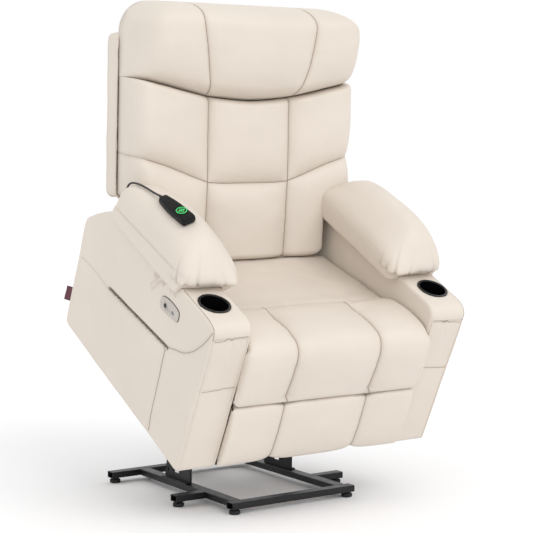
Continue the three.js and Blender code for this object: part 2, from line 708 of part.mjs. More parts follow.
// Plywood panel with the two steel hinge brackets that the links are pinned to.
function footrestBoard() {
  const { padRear, boardThickness, boardHalfWidth, boardInset, bottom, top } = FOOTREST;
  const face = padRear + SEATED_GAP;
  const panel = slabY(rectangle(-boardHalfWidth, bottom + boardInset, boardHalfWidth, top - boardInset, 10),
    face, face + boardThickness);
  const [y, z] = MECHANISM.boardPivot;
  const rise = MECHANISM.boardPivotRise;
  const back = face + boardThickness - 1;
  const parts = [panel];
  for (const [, side] of SIDES) {
    const ear = outline([[back, z - 34], [y + 2, z - 14, 8], [y + 13, z + 4, 10], [y + 13, z + rise - 4, 10],
      [y, z + rise + 15, 10], [back, z + rise + 15]]);
    const inner = side * MECHANISM.midLinkX;
    parts.push(slabX(ear, inner, side * (MECHANISM.midLinkX + MECHANISM.linkThickness)));
    const pinEnd = MECHANISM.outerLinkX + MECHANISM.linkThickness + 0.3;
    parts.push(rodX(MECHANISM.pinRadius, inner + side, side * pinEnd, y, z));
  }
  // Slots that the ends of the control links dip into on the way.
  const slots = SIDES.map(([, side]) => slabX(rectangle(face - 1, z + rise - 50, back + 2, top),
    side * (MECHANISM.innerLinkX - 2), side * (MECHANISM.midLinkX - 0.2)));
  return cut(join(...parts), ...slots);
}

function footrestPad() {
  const { halfWidth, bottom, top, padFront, padRear } = FOOTREST;
  const side = outline([[padRear, bottom, 12], [padRear, top, 12], [padFront + 10, top, 16],
    [padFront, top - 60, 40], [padFront, bottom + 50, 40], [padFront + 12, bottom, 16]]);
  return slabX(side, -halfWidth, halfWidth, 5, 3);
}

// ---------------------------------------------------------------- seat

function buildSeat(chair) {
  piece('seat_base', seatBase(), plywood, chair);
  piece('seat_cushion', seatCushion(), cream, chair);
}

// Plywood panel on two bearers, which sit on the mechanism's side plates.
function seatBase() {
  const { deckHeight, panelThickness, bearerWidth, panelSideGap, panelFrontY, panelRearY } = SEAT;
  const panelHalfWidth = ARM.innerX - panelSideGap;
  const bearerFront = MECHANISM.drivePivot[0] + SEAT.bearerSetback;
  const top = deckHeight - SEATED_GAP;
  const underside = top - panelThickness;
  const panel = slabZ(rectangle(-panelHalfWidth, panelFrontY, panelHalfWidth, panelRearY, 3), underside, top);
  const bearers = [-panelHalfWidth, panelHalfWidth - bearerWidth].map((x) => slabZ(
    rectangle(x, bearerFront, x + bearerWidth, panelRearY), bearerBottom, underside + 1));
  return join(panel, ...bearers);
}

// Side profile: plain seat at the rear, then the front roll that wraps over the seat's front edge.
function seatCushion() {
  const { rearY, deckHeight: deck, sideGap } = SEAT;
  const halfWidth = ARM.innerX - sideGap;
  const rollBottom = FOOTREST.top + SEAT.rollGap;
  const profile = outline([
    [rearY, deck, 12], [rearY, deck + 72, 30], [470, deck + 84, 60], [335, deck + 108, 40],
    [252, deck + 116, 20], [176, deck + 144, 40], [92, deck + 156, 40], [14, deck + 156, 36],
    [-22, deck + 124, 26], [-24, deck + 62, 30], [-12, rollBottom, 18], [38, rollBottom, 12], [38, deck, 12],
  ]);
  return slabX(profile, -halfWidth, halfWidth, 6, 3);
}

// ---------------------------------------------------------------- back

function buildBack(chair) {
  const back = pivoted('back_body', BACK.pivot, -BACK.lean, chair);
  buildBackFrame(back);
  piece('back_cover', backCover(), cream, back);
  piece('back_cushion', backCushion(), cream, back);
  piece('headrest_cushion', headrestCushion(), cream, back);
  const pin = intoBack(BACK.leverPin);
  for (const [label, side] of SIDES) piece(`back_bracket_${label}`, backBracket(side, pin), blackSteel, back);
  piece('back_drive_bar', backDriveBar(pin), blackSteel, back);
}

// From the chair's (y, z) to the leaning back's (depth, height) about its pivot.
function intoBack([y, z]) {
  const dy = y - BACK.pivot[0];
  const dz = z - BACK.pivot[1];
  return [dy * cos(BACK.lean) - dz * sin(BACK.lean), dy * sin(BACK.lean) + dz * cos(BACK.lean)];
}

// Front view of the back: narrow between the arms, with wings above them.
function backOutline(inset, bottom, lowerHalf, wingRadius = 24) {
  const { upperHalfWidth, wingBottom, coverTop, coverCornerRadius } = BACK;
  const half = upperHalfWidth - inset;
  const low = lowerHalf;
  const top = coverTop - inset;
  return outline([
    [low, bottom, 12], [low, wingBottom + inset, 6], [half, wingBottom + inset, wingRadius],
    [half, top, coverCornerRadius], [-half, top, coverCornerRadius],
    [-half, wingBottom + inset, wingRadius], [-low, wingBottom + inset, 6], [-low, bottom, 12],
  ]);
}

// Plywood frame inside the shell: two posts with wings, and two rails between them.
// The steel drive bar ties the posts' lower ends.
function buildBackFrame(back) {
  const { coverWall, frameFront, frameRear, frameMember, postWidth } = BACK;
  const half = BACK.upperHalfWidth - coverWall - 8;
  const low = BACK.lowerHalfWidth - coverWall - 4;
  const bottom = BACK.bottom + 20;
  const wing = BACK.wingBottom + 16;
  const top = BACK.coverTop - 26;
  const post = low - postWidth;
  for (const [label, side] of SIDES) {
    const shape = outline([[post, bottom, 4], [low, bottom, 6], [low, wing, 6], [half, wing, 14],
      [half, top, 20], [post, top, 2]].map(([x, z, r]) => [side * x, z, r]));
    piece(`back_post_${label}`, slabY(shape, frameFront, frameRear), plywood, back);
  }
  const reach = post - SEATED_GAP;
  for (const [label, z] of [['lower', wing], ['upper', top - frameMember]]) {
    const rail = slabY(rectangle(-reach, z, reach, z + frameMember, 3), frameFront, frameRear);
    piece(`back_rail_${label}`, rail, plywood, back);
  }
}

// Upholstered rear shell: a shallow tray, open towards the cushions.
function backCover() {
  const outer = slabY(backOutline(0, BACK.bottom, BACK.lowerHalfWidth), BACK.coverFront, BACK.coverRear, 6, 4);
  const wall = BACK.coverWall;
  const inner = slabY(backOutline(wall, BACK.bottom + wall, BACK.lowerHalfWidth - wall, 20),
    BACK.coverFront - 5, BACK.coverRear - wall, 0, 3);
  return cut(outer, inner);
}

function backCushion() {
  const { cushionHalfWidth, cushionLowerHalfWidth, wingBottom, headSeam, coverFront } = BACK;
  const low = cushionLowerHalfWidth;
  const half = cushionHalfWidth;
  const top = headSeam - 1;
  const front = outline([[low, -36, 20], [low, wingBottom, 6], [half, wingBottom, 30], [half, top, 20],
    [-half, top, 20], [-half, wingBottom, 30], [-low, wingBottom, 6], [-low, -36, 20]]);
  const rear = coverFront - SEATED_GAP;
  const side = outline([[rear, -30, 8], [rear, top, 4], [-92, top, 14], [-128, top - 60, 50], [-134, 300, 60],
    [-108, 208, 10], [-130, 120, 60], [-112, 20, 40], [-78, -24, 16]]);
  const whole = common(slabY(front, -150, rear + 1), slabX(side, -half - 1, half + 1));
  // The wings step back behind the arm pads.
  const [, padRearTop] = intoBack([ARM.padRearY, ARM.topHeight + ARM.padRearRise]);
  const relief = rectangle(-160, wingBottom - 20, BACK.padReliefDepth, padRearTop + BACK.padReliefGap);
  return cut(whole, slabX(relief, low + 0.5, half + 9), slabX(relief, -low - 0.5, -half - 9));
}

function headrestCushion() {
  const { cushionHalfWidth, headSeam, headTop, headCornerRadius, coverFront } = BACK;
  const half = cushionHalfWidth;
  const front = outline([[half, headSeam, 16], [half + 3, headTop, headCornerRadius],
    [-half - 3, headTop, headCornerRadius], [-half, headSeam, 16]]);
  const rear = coverFront - SEATED_GAP;
  const side = outline([[rear, headSeam, 4], [rear, headTop, 30], [-96, headTop, 60], [-170, headTop - 60, 60],
    [-186, 600, 60], [-160, 500, 40], [-100, headSeam, 20]]);
  return common(slabY(front, -200, rear + 1, 0, 4), slabX(side, -half - 5, half + 5));
}

function backBracket(side, [pinDepth, pinHeight]) {
  const { bracketX, bracketThickness, frameFront, frameRear } = BACK;
  const plate = outline([
    [-17, -8, 14], [-12, 24, 14], [frameFront, 60, 10], [frameFront, 150, 6], [frameRear, 150, 6],
    [frameRear, 20, 20], [pinDepth + 16, pinHeight - 8, 14], [pinDepth - 14, pinHeight - 12, 12],
    [pinDepth - 20, pinHeight + 14, 10],
  ]);
  plate.holes.push(circle(0, 0, MECHANISM.pinRadius + 2 + PIVOT_CLEARANCE));
  return slabX(plate, side * bracketX, side * (bracketX + bracketThickness));
}

function backDriveBar([pinDepth, pinHeight]) {
  const { bracketX, leverPinX } = BACK;
  const barDepth = pinDepth - 2;
  const barHeight = pinHeight + 44;
  const [gap, thick] = [LINKAGE.earGap, LINKAGE.earThickness];
  const half = bracketX - SEATED_GAP;
  const bar = slabX(ring(11, 8.5, barDepth, barHeight), -half, half);
  const ear = outline([[barDepth - 10, barHeight - 4], [barDepth + 10, barHeight - 4],
    [pinDepth + 13, pinHeight - 13, 12], [pinDepth - 13, pinHeight - 13, 12]]);
  ear.holes.push(circle(pinDepth, pinHeight, ACTUATOR.pinRadius + PIVOT_CLEARANCE));
  const ears = [-1, 1].map((side) => slabX(ear,
    leverPinX + side * gap / 2, leverPinX + side * (gap / 2 + thick)));
  return join(bar, ...ears);
}

// ---------------------------------------------------------------- recline actuator

const reclinedPin = (() => {
  const { recline } = BACK;
  const dy = BACK.leverPin[0] - BACK.pivot[0];
  const dz = BACK.leverPin[1] - BACK.pivot[1];
  return [BACK.pivot[0] + dy * cos(recline) + dz * sin(recline),
    BACK.pivot[1] - dy * sin(recline) + dz * cos(recline)];
})();

function buildReclineActuator(chair) {
  const rest = between(RECLINE_PIVOT, BACK.leverPin);
  const strut = pivoted('recline_motor_body', RECLINE_PIVOT, rest.angle, chair);
  strut.position.x = BACK.leverPinX;
  buildActuator('recline', strut, rest.length, between(RECLINE_PIVOT, reclinedPin).length, LINKAGE.earGap);
}

// ---------------------------------------------------------------- arms

// Side view of an arm: the rear top corner is cut back so that the back can recline past it.
function armProfile() {
  const top = ARM.topHeight;
  return outline([[0, 0, 20], [783, 0, 24], [803, top - 115, 24], [753, top - 73, 28], [702, top - 37, 28],
    [640, top, 34], [12, top, 44], [6, top - 84, 60]]);
}

function armBody(side) {
  const inner = side * ARM.innerX;
  const outer = side * ARM.outerX;
  const box = slabX(armProfile(), inner, outer, ARM.edgeRadius, 4);
  const holeRadius = ARM.cupRadius + SEATED_GAP;
  const hole = new THREE.CylinderGeometry(holeRadius, holeRadius, 2 * ARM.cupDepth + 4, 32);
  hole.rotateX(Math.PI / 2).translate(side * ARM.cupX, ARM.cupY, ARM.topHeight);
  if (side > 0) return cut(box, hole);
  return cut(box, hole, pocketSpace(), usbBore(), buttonBore());
}

// Recess in the outer side of one arm, open at its top edge behind the pocket panel.
function pocketSpace() {
  const { rearY, frontY, bottom, rearTop, frontTop, depth, mouth } = POCKET;
  const shape = outline([[frontY, bottom, 12], [rearY, bottom, 12], [rearY, rearTop + mouth, 3],
    [frontY, frontTop + mouth, 3]]);
  return slabX(shape, -ARM.outerX - 2, -ARM.outerX + depth);
}

function pocketPanel() {
  const { rearY, frontY, bottom, rearTop, frontTop, panel } = POCKET;
  const gap = SEATED_GAP;
  const shape = outline([[frontY + gap, bottom + gap, 12], [rearY - gap, bottom + gap, 12],
    [rearY - gap, rearTop, 3], [frontY + gap, frontTop, 3]]);
  return slabX(shape, -ARM.outerX, -ARM.outerX + panel);
}

const usbCentre = [(USB.rear[0] + USB.front[0]) / 2, (USB.rear[1] + USB.front[1]) / 2];
const usbSlope = atan2(USB.rear[1] - USB.front[1], USB.rear[0] - USB.front[0]);
const alongUsb = (distance) => polar(usbCentre, distance, usbSlope);

function usbSlot(x0, x1) {
  const { slotWidth, slotHeight } = USB;
  const slot = slabX(rectangle(-slotWidth / 2, -slotHeight / 2, slotWidth / 2, slotHeight / 2), x0, x1);
  return slot.rotateX(usbSlope).translate(0, ...alongUsb(-22));
}

const usbBore = () => usbSlot(-ARM.outerX - 2, -ARM.outerX + USB.slotDepth);

function buttonBore() {
  const radius = USB.buttonRadius + 0.6;
  return rodX(radius, -ARM.outerX - 2, -ARM.outerX + 10, ...alongUsb(20));
}

function usbPanel() {
  const { rear, front, bulge, thickness } = USB;
  const [my, mz] = usbCentre;
  const shape = new THREE.Shape();
  shape.moveTo(...front);
  shape.bezierCurveTo(my - 34, mz - bulge, my + 30, mz - bulge, ...rear);
  shape.bezierCurveTo(my + 30, mz + bulge, my - 34, mz + bulge, ...front);
  const x0 = -ARM.outerX - SEATED_GAP;
  const plate = slabX(shape, x0 - thickness, x0, 1, 12);
  return cut(plate, usbSlot(x0 - thickness - 2, x0 + 2),
    rodX(USB.buttonRadius + 0.5, x0 - thickness - 2, x0 + 2, ...alongUsb(20)));
}

function usbButton() {
  const x0 = -ARM.outerX - SEATED_GAP - USB.thickness;
  return rodX(USB.buttonRadius, x0 - USB.buttonTravel - 0.5, x0 + 6, ...alongUsb(20));
}

// Overstuffed pad: cross-section along the arm, cut to the side silhouette.
function armPad(side) {
  const { padInnerX, padOuterX, innerX, outerX, topHeight: top, padLip, padRearY, padRearRise } = ARM;
  const seat = top + SEATED_GAP;
  const lip = top - padLip;
  const points = [[padOuterX, lip, 8], [padOuterX, top + 76, 34], [padOuterX - 17, top + 128, 30],
    [padOuterX - 105, top + 157, 44], [padInnerX + 22, top + 138, 44], [padInnerX, top + 76, 40],
    [padInnerX + 8, lip + 8, 14], [innerX - 0.5, lip + 2, 6],
    [innerX - 0.5, seat, 3], [outerX + 0.5, seat, 3], [outerX + 0.5, lip, 3]];
  const section = outline(points.map(([x, z, r]) => [side * x, z, r]));
  const silhouette = outline([[186, seat + 4, 8], [144, top + 68, 24], [140, top + 120, 24],
    [188, top + 150, 50], [342, top + 158, 60], [440, top + 150, 60], [570, top + 122, 50],
    [padRearY, top + padRearRise, 30], [padRearY, lip, 20], [196, lip, 12]]);
  const length = slabY(section, 130, padRearY + 6);
  return common(length, slabX(silhouette, side * (padInnerX - 2), side * (padOuterX + 2)));
}

function cupHolder() {
  const { cupRingRadius, cupRadius, cupWall, cupDepth, ringHeight } = ARM;
  const inside = cupRadius - cupWall;
  const profile = [[0, -cupDepth], [cupRadius - 4, -cupDepth], [cupRadius, 4 - cupDepth], [cupRadius, 0],
    [cupRingRadius, 0], [cupRingRadius, ringHeight - 1], [cupRingRadius - 1, ringHeight],
    [inside + 1, ringHeight], [inside, ringHeight - 1], [inside, cupWall + 3 - cupDepth],
    [inside - 3, cupWall - cupDepth],
    [0, cupWall - cupDepth]];
  const lathe = new THREE.LatheGeometry(profile.map(([r, z]) => new THREE.Vector2(r, z)), 24);
  return lathe.rotateX(Math.PI / 2);
}

function buildArms(chair) {
  for (const [label, side] of SIDES) {
    piece(`arm_${label}`, armBody(side), cream, chair);
    piece(`arm_pad_${label}`, armPad(side), cream, chair);
    const cup = piece(`cup_holder_${label}`, cupHolder(), glossPlastic, chair);
    cup.position.set(side * ARM.cupX, ARM.cupY, ARM.topHeight + SEATED_GAP);
  }
  piece('side_pocket_panel', pocketPanel(), cream, chair);
  piece('usb_panel', usbPanel(), greyPlastic, chair);
  piece('usb_power_button', usbButton(), blackPlastic, chair);
}

// ---------------------------------------------------------------- hand control and its cable

function buildHandset(chair) {
  const group = new THREE.Group();
  group.name = 'handset_frame';
  group.position.set(...HANDSET.position);
  group.rotation.set(HANDSET.pitch, HANDSET.roll, HANDSET.turn, 'ZYX');
  chair.add(group);
  const { length, rearHalfWidth, frontHalfWidth, thickness, ringRadius, ringTravel } = HANDSET;
  const half = length / 2;
  const shape = outline([[-frontHalfWidth, -half, 14], [frontHalfWidth, -half, 14], [frontHalfWidth, 4, 30],
    [rearHalfWidth, half, 12], [-rearHalfWidth, half, 12]]);
  const ringY = -26;
  const body = slabZ(shape, 0, thickness, 2.5, 5);
  const well = slabZ(circle(0, ringY, ringRadius + 0.5, 20), thickness - ringTravel - 2, thickness + 3);
  piece('handset_body', cut(body, well), blackPlastic, group);
  const ringTop = thickness + ringTravel + 0.5;
  const disc = slabZ(circle(0, ringY, ringRadius, 20), ringTop - 3.2, ringTop);
  piece('handset_button', disc, greenLight, group);
}

// Route chosen by hand: straight out of the hand control, over the pad's rear end and down to the arm.
const CABLE_POINTS = [
  [-416.3, 451.2, 632.3], [-417.3, 462, 632], [-418.6, 480, 628.4], [-419.6, 500, 624.2], [-420.4, 520, 620.6],
  [-421, 540, 616.6], [-421, 560, 611.8], [-421, 580, 605.9], [-421, 600, 598.4], [-421, 612, 592.9],
  [-421, 622, 586.8], [-421, 630.5, 579.2], [-421, 636.4, 568.5], [-421, 638.6, 556], [-421, 639.2, 540],
  [-420.6, 639.6, 520], [-420.2, 640, 500], [-420, 640.4, 480.4],
];

function buildCable(chair) {
  const curve = new THREE.CatmullRomCurve3(CABLE_POINTS.map((point) => new THREE.Vector3(...point)));
  const section = new THREE.Shape();
  const sides = 8;
  for (let i = 0; i < sides; i += 1) {
    const angle = 2 * Math.PI * i / sides;
    const corner = [CABLE_DIAMETER / 2 * cos(angle), CABLE_DIAMETER / 2 * sin(angle)];
    if (i === 0) section.moveTo(...corner);
    else section.lineTo(...corner);
  }
  section.closePath();
  const tube = new THREE.ExtrudeGeometry(section, { steps: 22, extrudePath: curve, bevelEnabled: false });
  piece('handset_cable', tube, blackRubber, chair);
}

// ---------------------------------------------------------------- assembly

const liftChair = new THREE.Group();
liftChair.name = 'lift_recliner_chair';
buildBase(liftChair);
buildLift(liftChair);

const chair = pivoted('chair_frame', [0, LIFT.raisedHeight], LIFT.tilt, liftChair);
buildCarriage(chair);
buildFootrest(chair);
buildSeat(chair);
buildBack(chair);
buildReclineActuator(chair);
buildArms(chair);
buildHandset(chair);
buildCable(chair);

// The origin goes under the middle of the bounding box.
liftChair.updateMatrixWorld(true);
const bounds = new THREE.Box3().setFromObject(liftChair, true);
liftChair.position.y = -(bounds.min.y + bounds.max.y) / 2;

export default liftChair;
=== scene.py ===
"""Looks of the lift recliner chair: leather upholstery, hand control, cable and materials."""
import json
from functools import partial
from math import atan2, cos, hypot, pi, radians, sin

import bmesh
import bpy
import numpy as np
from mathutils import Matrix, Vector
from mathutils.bvhtree import BVHTree


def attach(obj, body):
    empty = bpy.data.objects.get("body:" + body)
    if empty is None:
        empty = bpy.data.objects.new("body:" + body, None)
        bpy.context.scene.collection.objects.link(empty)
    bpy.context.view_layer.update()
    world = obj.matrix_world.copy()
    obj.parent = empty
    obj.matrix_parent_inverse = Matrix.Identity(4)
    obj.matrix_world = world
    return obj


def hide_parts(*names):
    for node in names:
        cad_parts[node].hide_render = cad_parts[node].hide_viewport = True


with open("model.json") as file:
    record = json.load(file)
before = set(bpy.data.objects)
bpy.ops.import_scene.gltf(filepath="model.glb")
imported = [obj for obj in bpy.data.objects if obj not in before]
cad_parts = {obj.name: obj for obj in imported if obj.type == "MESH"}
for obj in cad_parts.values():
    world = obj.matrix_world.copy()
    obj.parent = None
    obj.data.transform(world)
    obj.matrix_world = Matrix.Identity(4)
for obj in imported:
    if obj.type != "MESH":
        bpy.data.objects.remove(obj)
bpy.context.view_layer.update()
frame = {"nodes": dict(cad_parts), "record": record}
NODES = frame["nodes"]

# ---------- frames of reference

SEAT_TILT = radians(27.6)  # how far the lift has tipped the chair at rest
BACK_ANGLE = radians(24.5)  # back against the seat
COS_T, SIN_T = cos(SEAT_TILT), sin(SEAT_TILT)
COS_B, SIN_B = cos(BACK_ANGLE), sin(BACK_ANGLE)
ORIGIN_Y, ORIGIN_Z = -242.458, 160  # the chair's origin in the frame, in mm
PIVOT_Y, PIVOT_Z = 655, 335  # the back's pivot in the chair, in mm


def chair(p):
    """Chair coordinates in mm (x, y rearward, z up from the seat's base) to metres in the frame."""
    p = np.asarray(p, float)
    x, y, z = p[..., 0], p[..., 1], p[..., 2]
    return np.stack([x, y * COS_T - z * SIN_T + ORIGIN_Y, ORIGIN_Z + y * SIN_T + z * COS_T], -1) / 1000


def unchair(p):
    """Metres in the frame to chair coordinates in mm."""
    p = np.asarray(p, float) * 1000
    x, y, z = p[..., 0], p[..., 1] - ORIGIN_Y, p[..., 2] - ORIGIN_Z
    return np.stack([x, y * COS_T + z * SIN_T, z * COS_T - y * SIN_T], -1)


def back(p):
    """Back coordinates in mm (x, v rearward, u up the back) to metres in the frame."""
    p = np.asarray(p, float)
    x, v, u = p[..., 0], p[..., 1], p[..., 2]
    return chair(np.stack([x, PIVOT_Y + v * COS_B + u * SIN_B, PIVOT_Z - v * SIN_B + u * COS_B], -1))


# ---------- small tools

TABLE = np.random.default_rng(11).uniform(-1, 1, (256, 256))


def noise(a, b):
    """Smooth noise of two coordinates, about -1 to 1."""
    a, b = np.asarray(a, float), np.asarray(b, float)
    i, j = np.floor(a).astype(int), np.floor(b).astype(int)
    fa, fb = a - i, b - j
    fa, fb = fa * fa * (3 - 2 * fa), fb * fb * (3 - 2 * fb)

    def at(di, dj):
        return TABLE[(i + di) % 256, (j + dj) % 256]

    low = at(0, 0) * (1 - fa) + at(1, 0) * fa
    high = at(0, 1) * (1 - fa) + at(1, 1) * fa
    return low * (1 - fb) + high * fb


def smooth(x, lo, hi):
    """0 up to lo, 1 from hi, and a soft step between them."""
    t = np.clip((np.asarray(x, float) - lo) / (hi - lo), 0, 1)
    return t * t * (3 - 2 * t)


def bell(distance, width):
    """1 on a line, falling off softly to both sides."""
    return np.exp(-(distance / width) ** 2)


def fade(distance, width):
    """1 on a line, falling off to both sides with a crease on it."""
    return np.exp(-np.abs(distance) / width)


def puff(distance, reach):
    """0 at a seam, 1 well away from it, with a crease at the seam."""
    return 1 - fade(distance, reach)


def nearest(values, place):
    return int(np.argmin(np.abs(values - place)))


def stations(points, fine, coarse):
    """Stations through a list of (place, is a seam), closer together next to a seam."""
    reach = 34
    out = [np.array([points[0][0]])]
    for (a, seam_a), (b, seam_b) in zip(points, points[1:]):
        t = np.linspace(a, b, 3000)
        step = np.full_like(t, coarse)
        for on, end in ((seam_a, a), (seam_b, b)):
            if on:
                step = np.minimum(step, fine + (coarse - fine) * np.clip(np.abs(t - end) / reach, 0, 1))
        grown = np.concatenate([[0], np.cumsum(np.diff(t) / step[1:])])
        count = max(2, int(round(grown[-1])))
        out.append(np.interp(np.linspace(0, grown[-1], count + 1), grown, t)[1:])
    return np.concatenate(out)


def curve_through(points, step):
    """Catmull-Rom line through points, sampled about every step."""
    p = np.asarray(points, float)
    ext = np.vstack([2 * p[0] - p[1], p, 2 * p[-1] - p[-2]])
    out = []
    for k in range(1, len(ext) - 2):
        p0, p1, p2, p3 = ext[k - 1:k + 3]
        n = max(2, int(np.linalg.norm(p2 - p1) / step))
        for t in np.linspace(0, 1, n, endpoint=False):
            out.append(0.5 * ((2 * p1) + (p2 - p0) * t + (2 * p0 - 5 * p1 + 4 * p2 - p3) * t * t
                              + (3 * p1 - p0 - 3 * p2 + p3) * t ** 3))
    out.append(p[-1])
    return np.array(out)


def offset_inward(line, amount):
    """Closed line of two coordinates moved inward by an amount, and its outward normals."""
    ahead, behind = np.roll(line, -1, 0), np.roll(line, 1, 0)
    tangent = ahead - behind
    tangent /= np.linalg.norm(tangent, axis=1)[:, None] + 1e-9
    normal = np.stack([tangent[:, 1], -tangent[:, 0]], -1)
    area = np.sum(line[:, 0] * ahead[:, 1] - ahead[:, 0] * line[:, 1])
    outward = normal if area > 0 else -normal
    return line - outward * amount, outward


def add_object(name, data):
    obj = bpy.data.objects.new(name, data)
    bpy.context.collection.objects.link(obj)
    return obj


def finish_mesh(name, verts, faces, material):
    """Smooth-shaded object from points in metres and faces turned outward."""
    mesh = bpy.data.meshes.new(name)
    mesh.from_pydata(verts.tolist(), [], faces)
    bm = bmesh.new()
    bm.from_mesh(mesh)
    bmesh.ops.recalc_face_normals(bm, faces=bm.faces)
    bm.to_mesh(mesh)
    bm.free()
    mesh.shade_smooth()
    mesh.materials.append(material)
    mesh.update()
    return add_object(name, mesh)


def grid_faces(rows, cols, base=0):
    """Faces of an open grid whose points start at base."""
    faces = []
    for i in range(rows - 1):
        a, b = base + i * cols, base + (i + 1) * cols
        faces += [(a + j, a + j + 1, b + j + 1, b + j) for j in range(cols - 1)]
    return faces


def grid_border(rows, cols):
    """Points around a grid, starting along its first row."""
    last = (rows - 1) * cols
    return ([*range(cols)] + [i * cols + cols - 1 for i in range(1, rows)]
            + [last + j for j in range(cols - 2, -1, -1)] + [i * cols for i in range(rows - 2, 0, -1)])


def loft(name, rings, material):
    """Skin through closed rings of points in metres, capped at both ends."""
    count, around = rings.shape[:2]
    faces = []
    for i in range(count - 1):
        a, b = i * around, (i + 1) * around
        faces += [(a + j, a + (j + 1) % around, b + (j + 1) % around, b + j) for j in range(around)]
    faces.append(tuple(range(around)))
    faces.append(tuple(reversed(range((count - 1) * around, count * around))))
    return finish_mesh(name, rings.reshape(-1, 3), faces, material)


def lathe(name, profile, count, material, place):
    """Profile of (radius, height) turned about its axis; place takes the rings to metres."""
    angles = np.linspace(0, 2 * pi, count, endpoint=False)
    rings = [[(r * cos(a), r * sin(a), z) for a in angles] for r, z in profile]
    return loft(name, place(np.array(rings)), material)


def dress(obj, body, slot, *replaced, fill=None):
    """What a piece rides on and the CAD nodes that it replaces; its slot and how it is filled are not used."""
    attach(obj, body)
    if replaced:
        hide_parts(*replaced)
    return obj


def paint_crease_shade(obj, values):
    """Painted shade in the creases and along the seams, 0 to 1 at each point, which darkens the leather's
    colour.
    """
    layer = obj.data.attributes.new("crease_shade", "FLOAT", "POINT")
    layer.data.foreach_set("value", np.clip(values, 0, 1).astype(np.float32))


def tube(name, points, radius, material, body, slot="leather_cream", sides=3):
    """A round bead along points in metres, such as a seam, a welt or a wire."""
    curve = bpy.data.curves.new(name, "CURVE")
    curve.dimensions = "3D"
    curve.bevel_depth = radius
    curve.bevel_resolution = sides
    curve.use_fill_caps = True
    line = curve.splines.new("POLY")
    line.points.add(len(points) - 1)
    for q, p in zip(line.points, points):
        q.co = (*map(float, p), 1)
    curve.materials.append(material)
    return dress(add_object(name, curve), body, slot)


def tree_of(obj):
    mesh = obj.data
    return BVHTree.FromPolygons([v.co for v in mesh.vertices], [tuple(f.vertices) for f in mesh.polygons])


def onto(tree, points, lift):
    """Points moved to the nearest place on a surface, lift metres above it."""
    out = []
    for p in points:
        spot, normal, _, _ = tree.find_nearest(Vector([float(c) for c in p]))
        out.append(spot + normal * lift)
    return out


# ---------- camera

SPOT = Vector((-2.5922, -3.98346, 1.0763))
YAW, PITCH, ROLL = radians(-33.302), radians(4.445), radians(-0.276)
backward = Vector((sin(YAW) * cos(PITCH), -cos(YAW) * cos(PITCH), sin(PITCH)))
level = Vector((cos(YAW), sin(YAW), 0))
above = level.cross(-backward)
right, up = level * cos(ROLL) + above * sin(ROLL), above * cos(ROLL) - level * sin(ROLL)
lens = bpy.data.cameras.new("camera")
lens.sensor_width = 36
lens.lens = 105.34
camera = add_object("camera", lens)
camera.matrix_world = Matrix([(*axis, 0) for axis in (right, up, backward)] + [(*SPOT, 1)]).transposed()
bpy.context.scene.camera = camera

# ---------- materials


class Finish:
    """A material with its nodes, its links and its shader, while it is being made."""

    def __init__(self, name):
        self.mat = bpy.data.materials.new(name)
        self.mat.use_nodes = True
        self.nodes, self.links = self.mat.node_tree.nodes, self.mat.node_tree.links
        self.shader = self.nodes["Principled BSDF"]

    def set(self, **values):
        for key, value in values.items():
            self.shader.inputs[key.replace("_", " ")].default_value = value

    def node(self, kind, **values):
        made = self.nodes.new("ShaderNode" + kind)
        for key, value in values.items():
            if hasattr(made, key):
                setattr(made, key, value)
            else:
                made.inputs[key.replace("_", " ")].default_value = value
        return made

    def place(self):
        return self.node("TexCoord").outputs["Object"]

    def cloud(self, place, scale, detail, **values):
        tex = self.node("TexNoise", Scale=scale, Detail=detail, **values)
        self.links.new(place, tex.inputs["Vector"])
        return tex.outputs["Fac"]

    def tint(self, factor, dark, light, start=0, end=1):
        ramp = self.node("ValToRGB")
        for stop, at, colour in zip(ramp.color_ramp.elements, (start, end), (dark, light)):
            stop.position, stop.color = at, (*colour, 1)
        self.links.new(factor, ramp.inputs["Fac"])
        return ramp.outputs["Color"]

    def gloss(self, factor, low, high):
        span = self.node("MapRange", To_Min=low, To_Max=high)
        self.links.new(factor, span.inputs["Value"])
        self.links.new(span.outputs["Result"], self.shader.inputs["Roughness"])

    def bump(self, height, strength, distance, under=None):
        made = self.node("Bump", Strength=strength, Distance=distance)
        self.links.new(height, made.inputs["Height"])
        if under:
            self.links.new(under, made.inputs["Normal"])
        return made.outputs["Normal"]

    def use(self, colour, normal):
        self.links.new(colour, self.shader.inputs["Base Color"])
        self.links.new(normal, self.shader.inputs["Normal"])


def leather(name, colour, crease_shade_colour):
    """Grained faux leather, with painted shade in the creases."""
    made = Finish(name)
    place = made.place()
    cloud = made.cloud(place, 5.0, 3.0)
    tint = made.tint(cloud, [c * 0.965 for c in colour], [min(1, c * 1.02) for c in colour], 0.25, 0.75)
    # painted shade: the colour darkens towards the shade colour wherever the points' painted shade is high
    crease_shade = made.node("Attribute", attribute_name="crease_shade")
    mix = made.node("MixRGB", Color2=(*crease_shade_colour, 1))
    made.links.new(crease_shade.outputs["Fac"], mix.inputs["Fac"])
    made.links.new(tint, mix.inputs["Color1"])
    cells = made.node("TexVoronoi", feature="SMOOTH_F1", Scale=420.0)
    made.links.new(place, cells.inputs["Vector"])
    grain = made.node("Math", operation="ADD")
    made.links.new(cells.outputs["Distance"], grain.inputs[0])
    made.links.new(made.cloud(place, 900.0, 2.0), grain.inputs[1])
    small = made.bump(grain.outputs["Value"], 0.35, 0.0005)
    made.use(mix.outputs["Color"], made.bump(made.cloud(place, 70.0, 3.0), 0.12, 0.002, small))
    made.gloss(cloud, 0.44, 0.58)
    made.set(Specular_IOR_Level=0.4)
    return made.mat


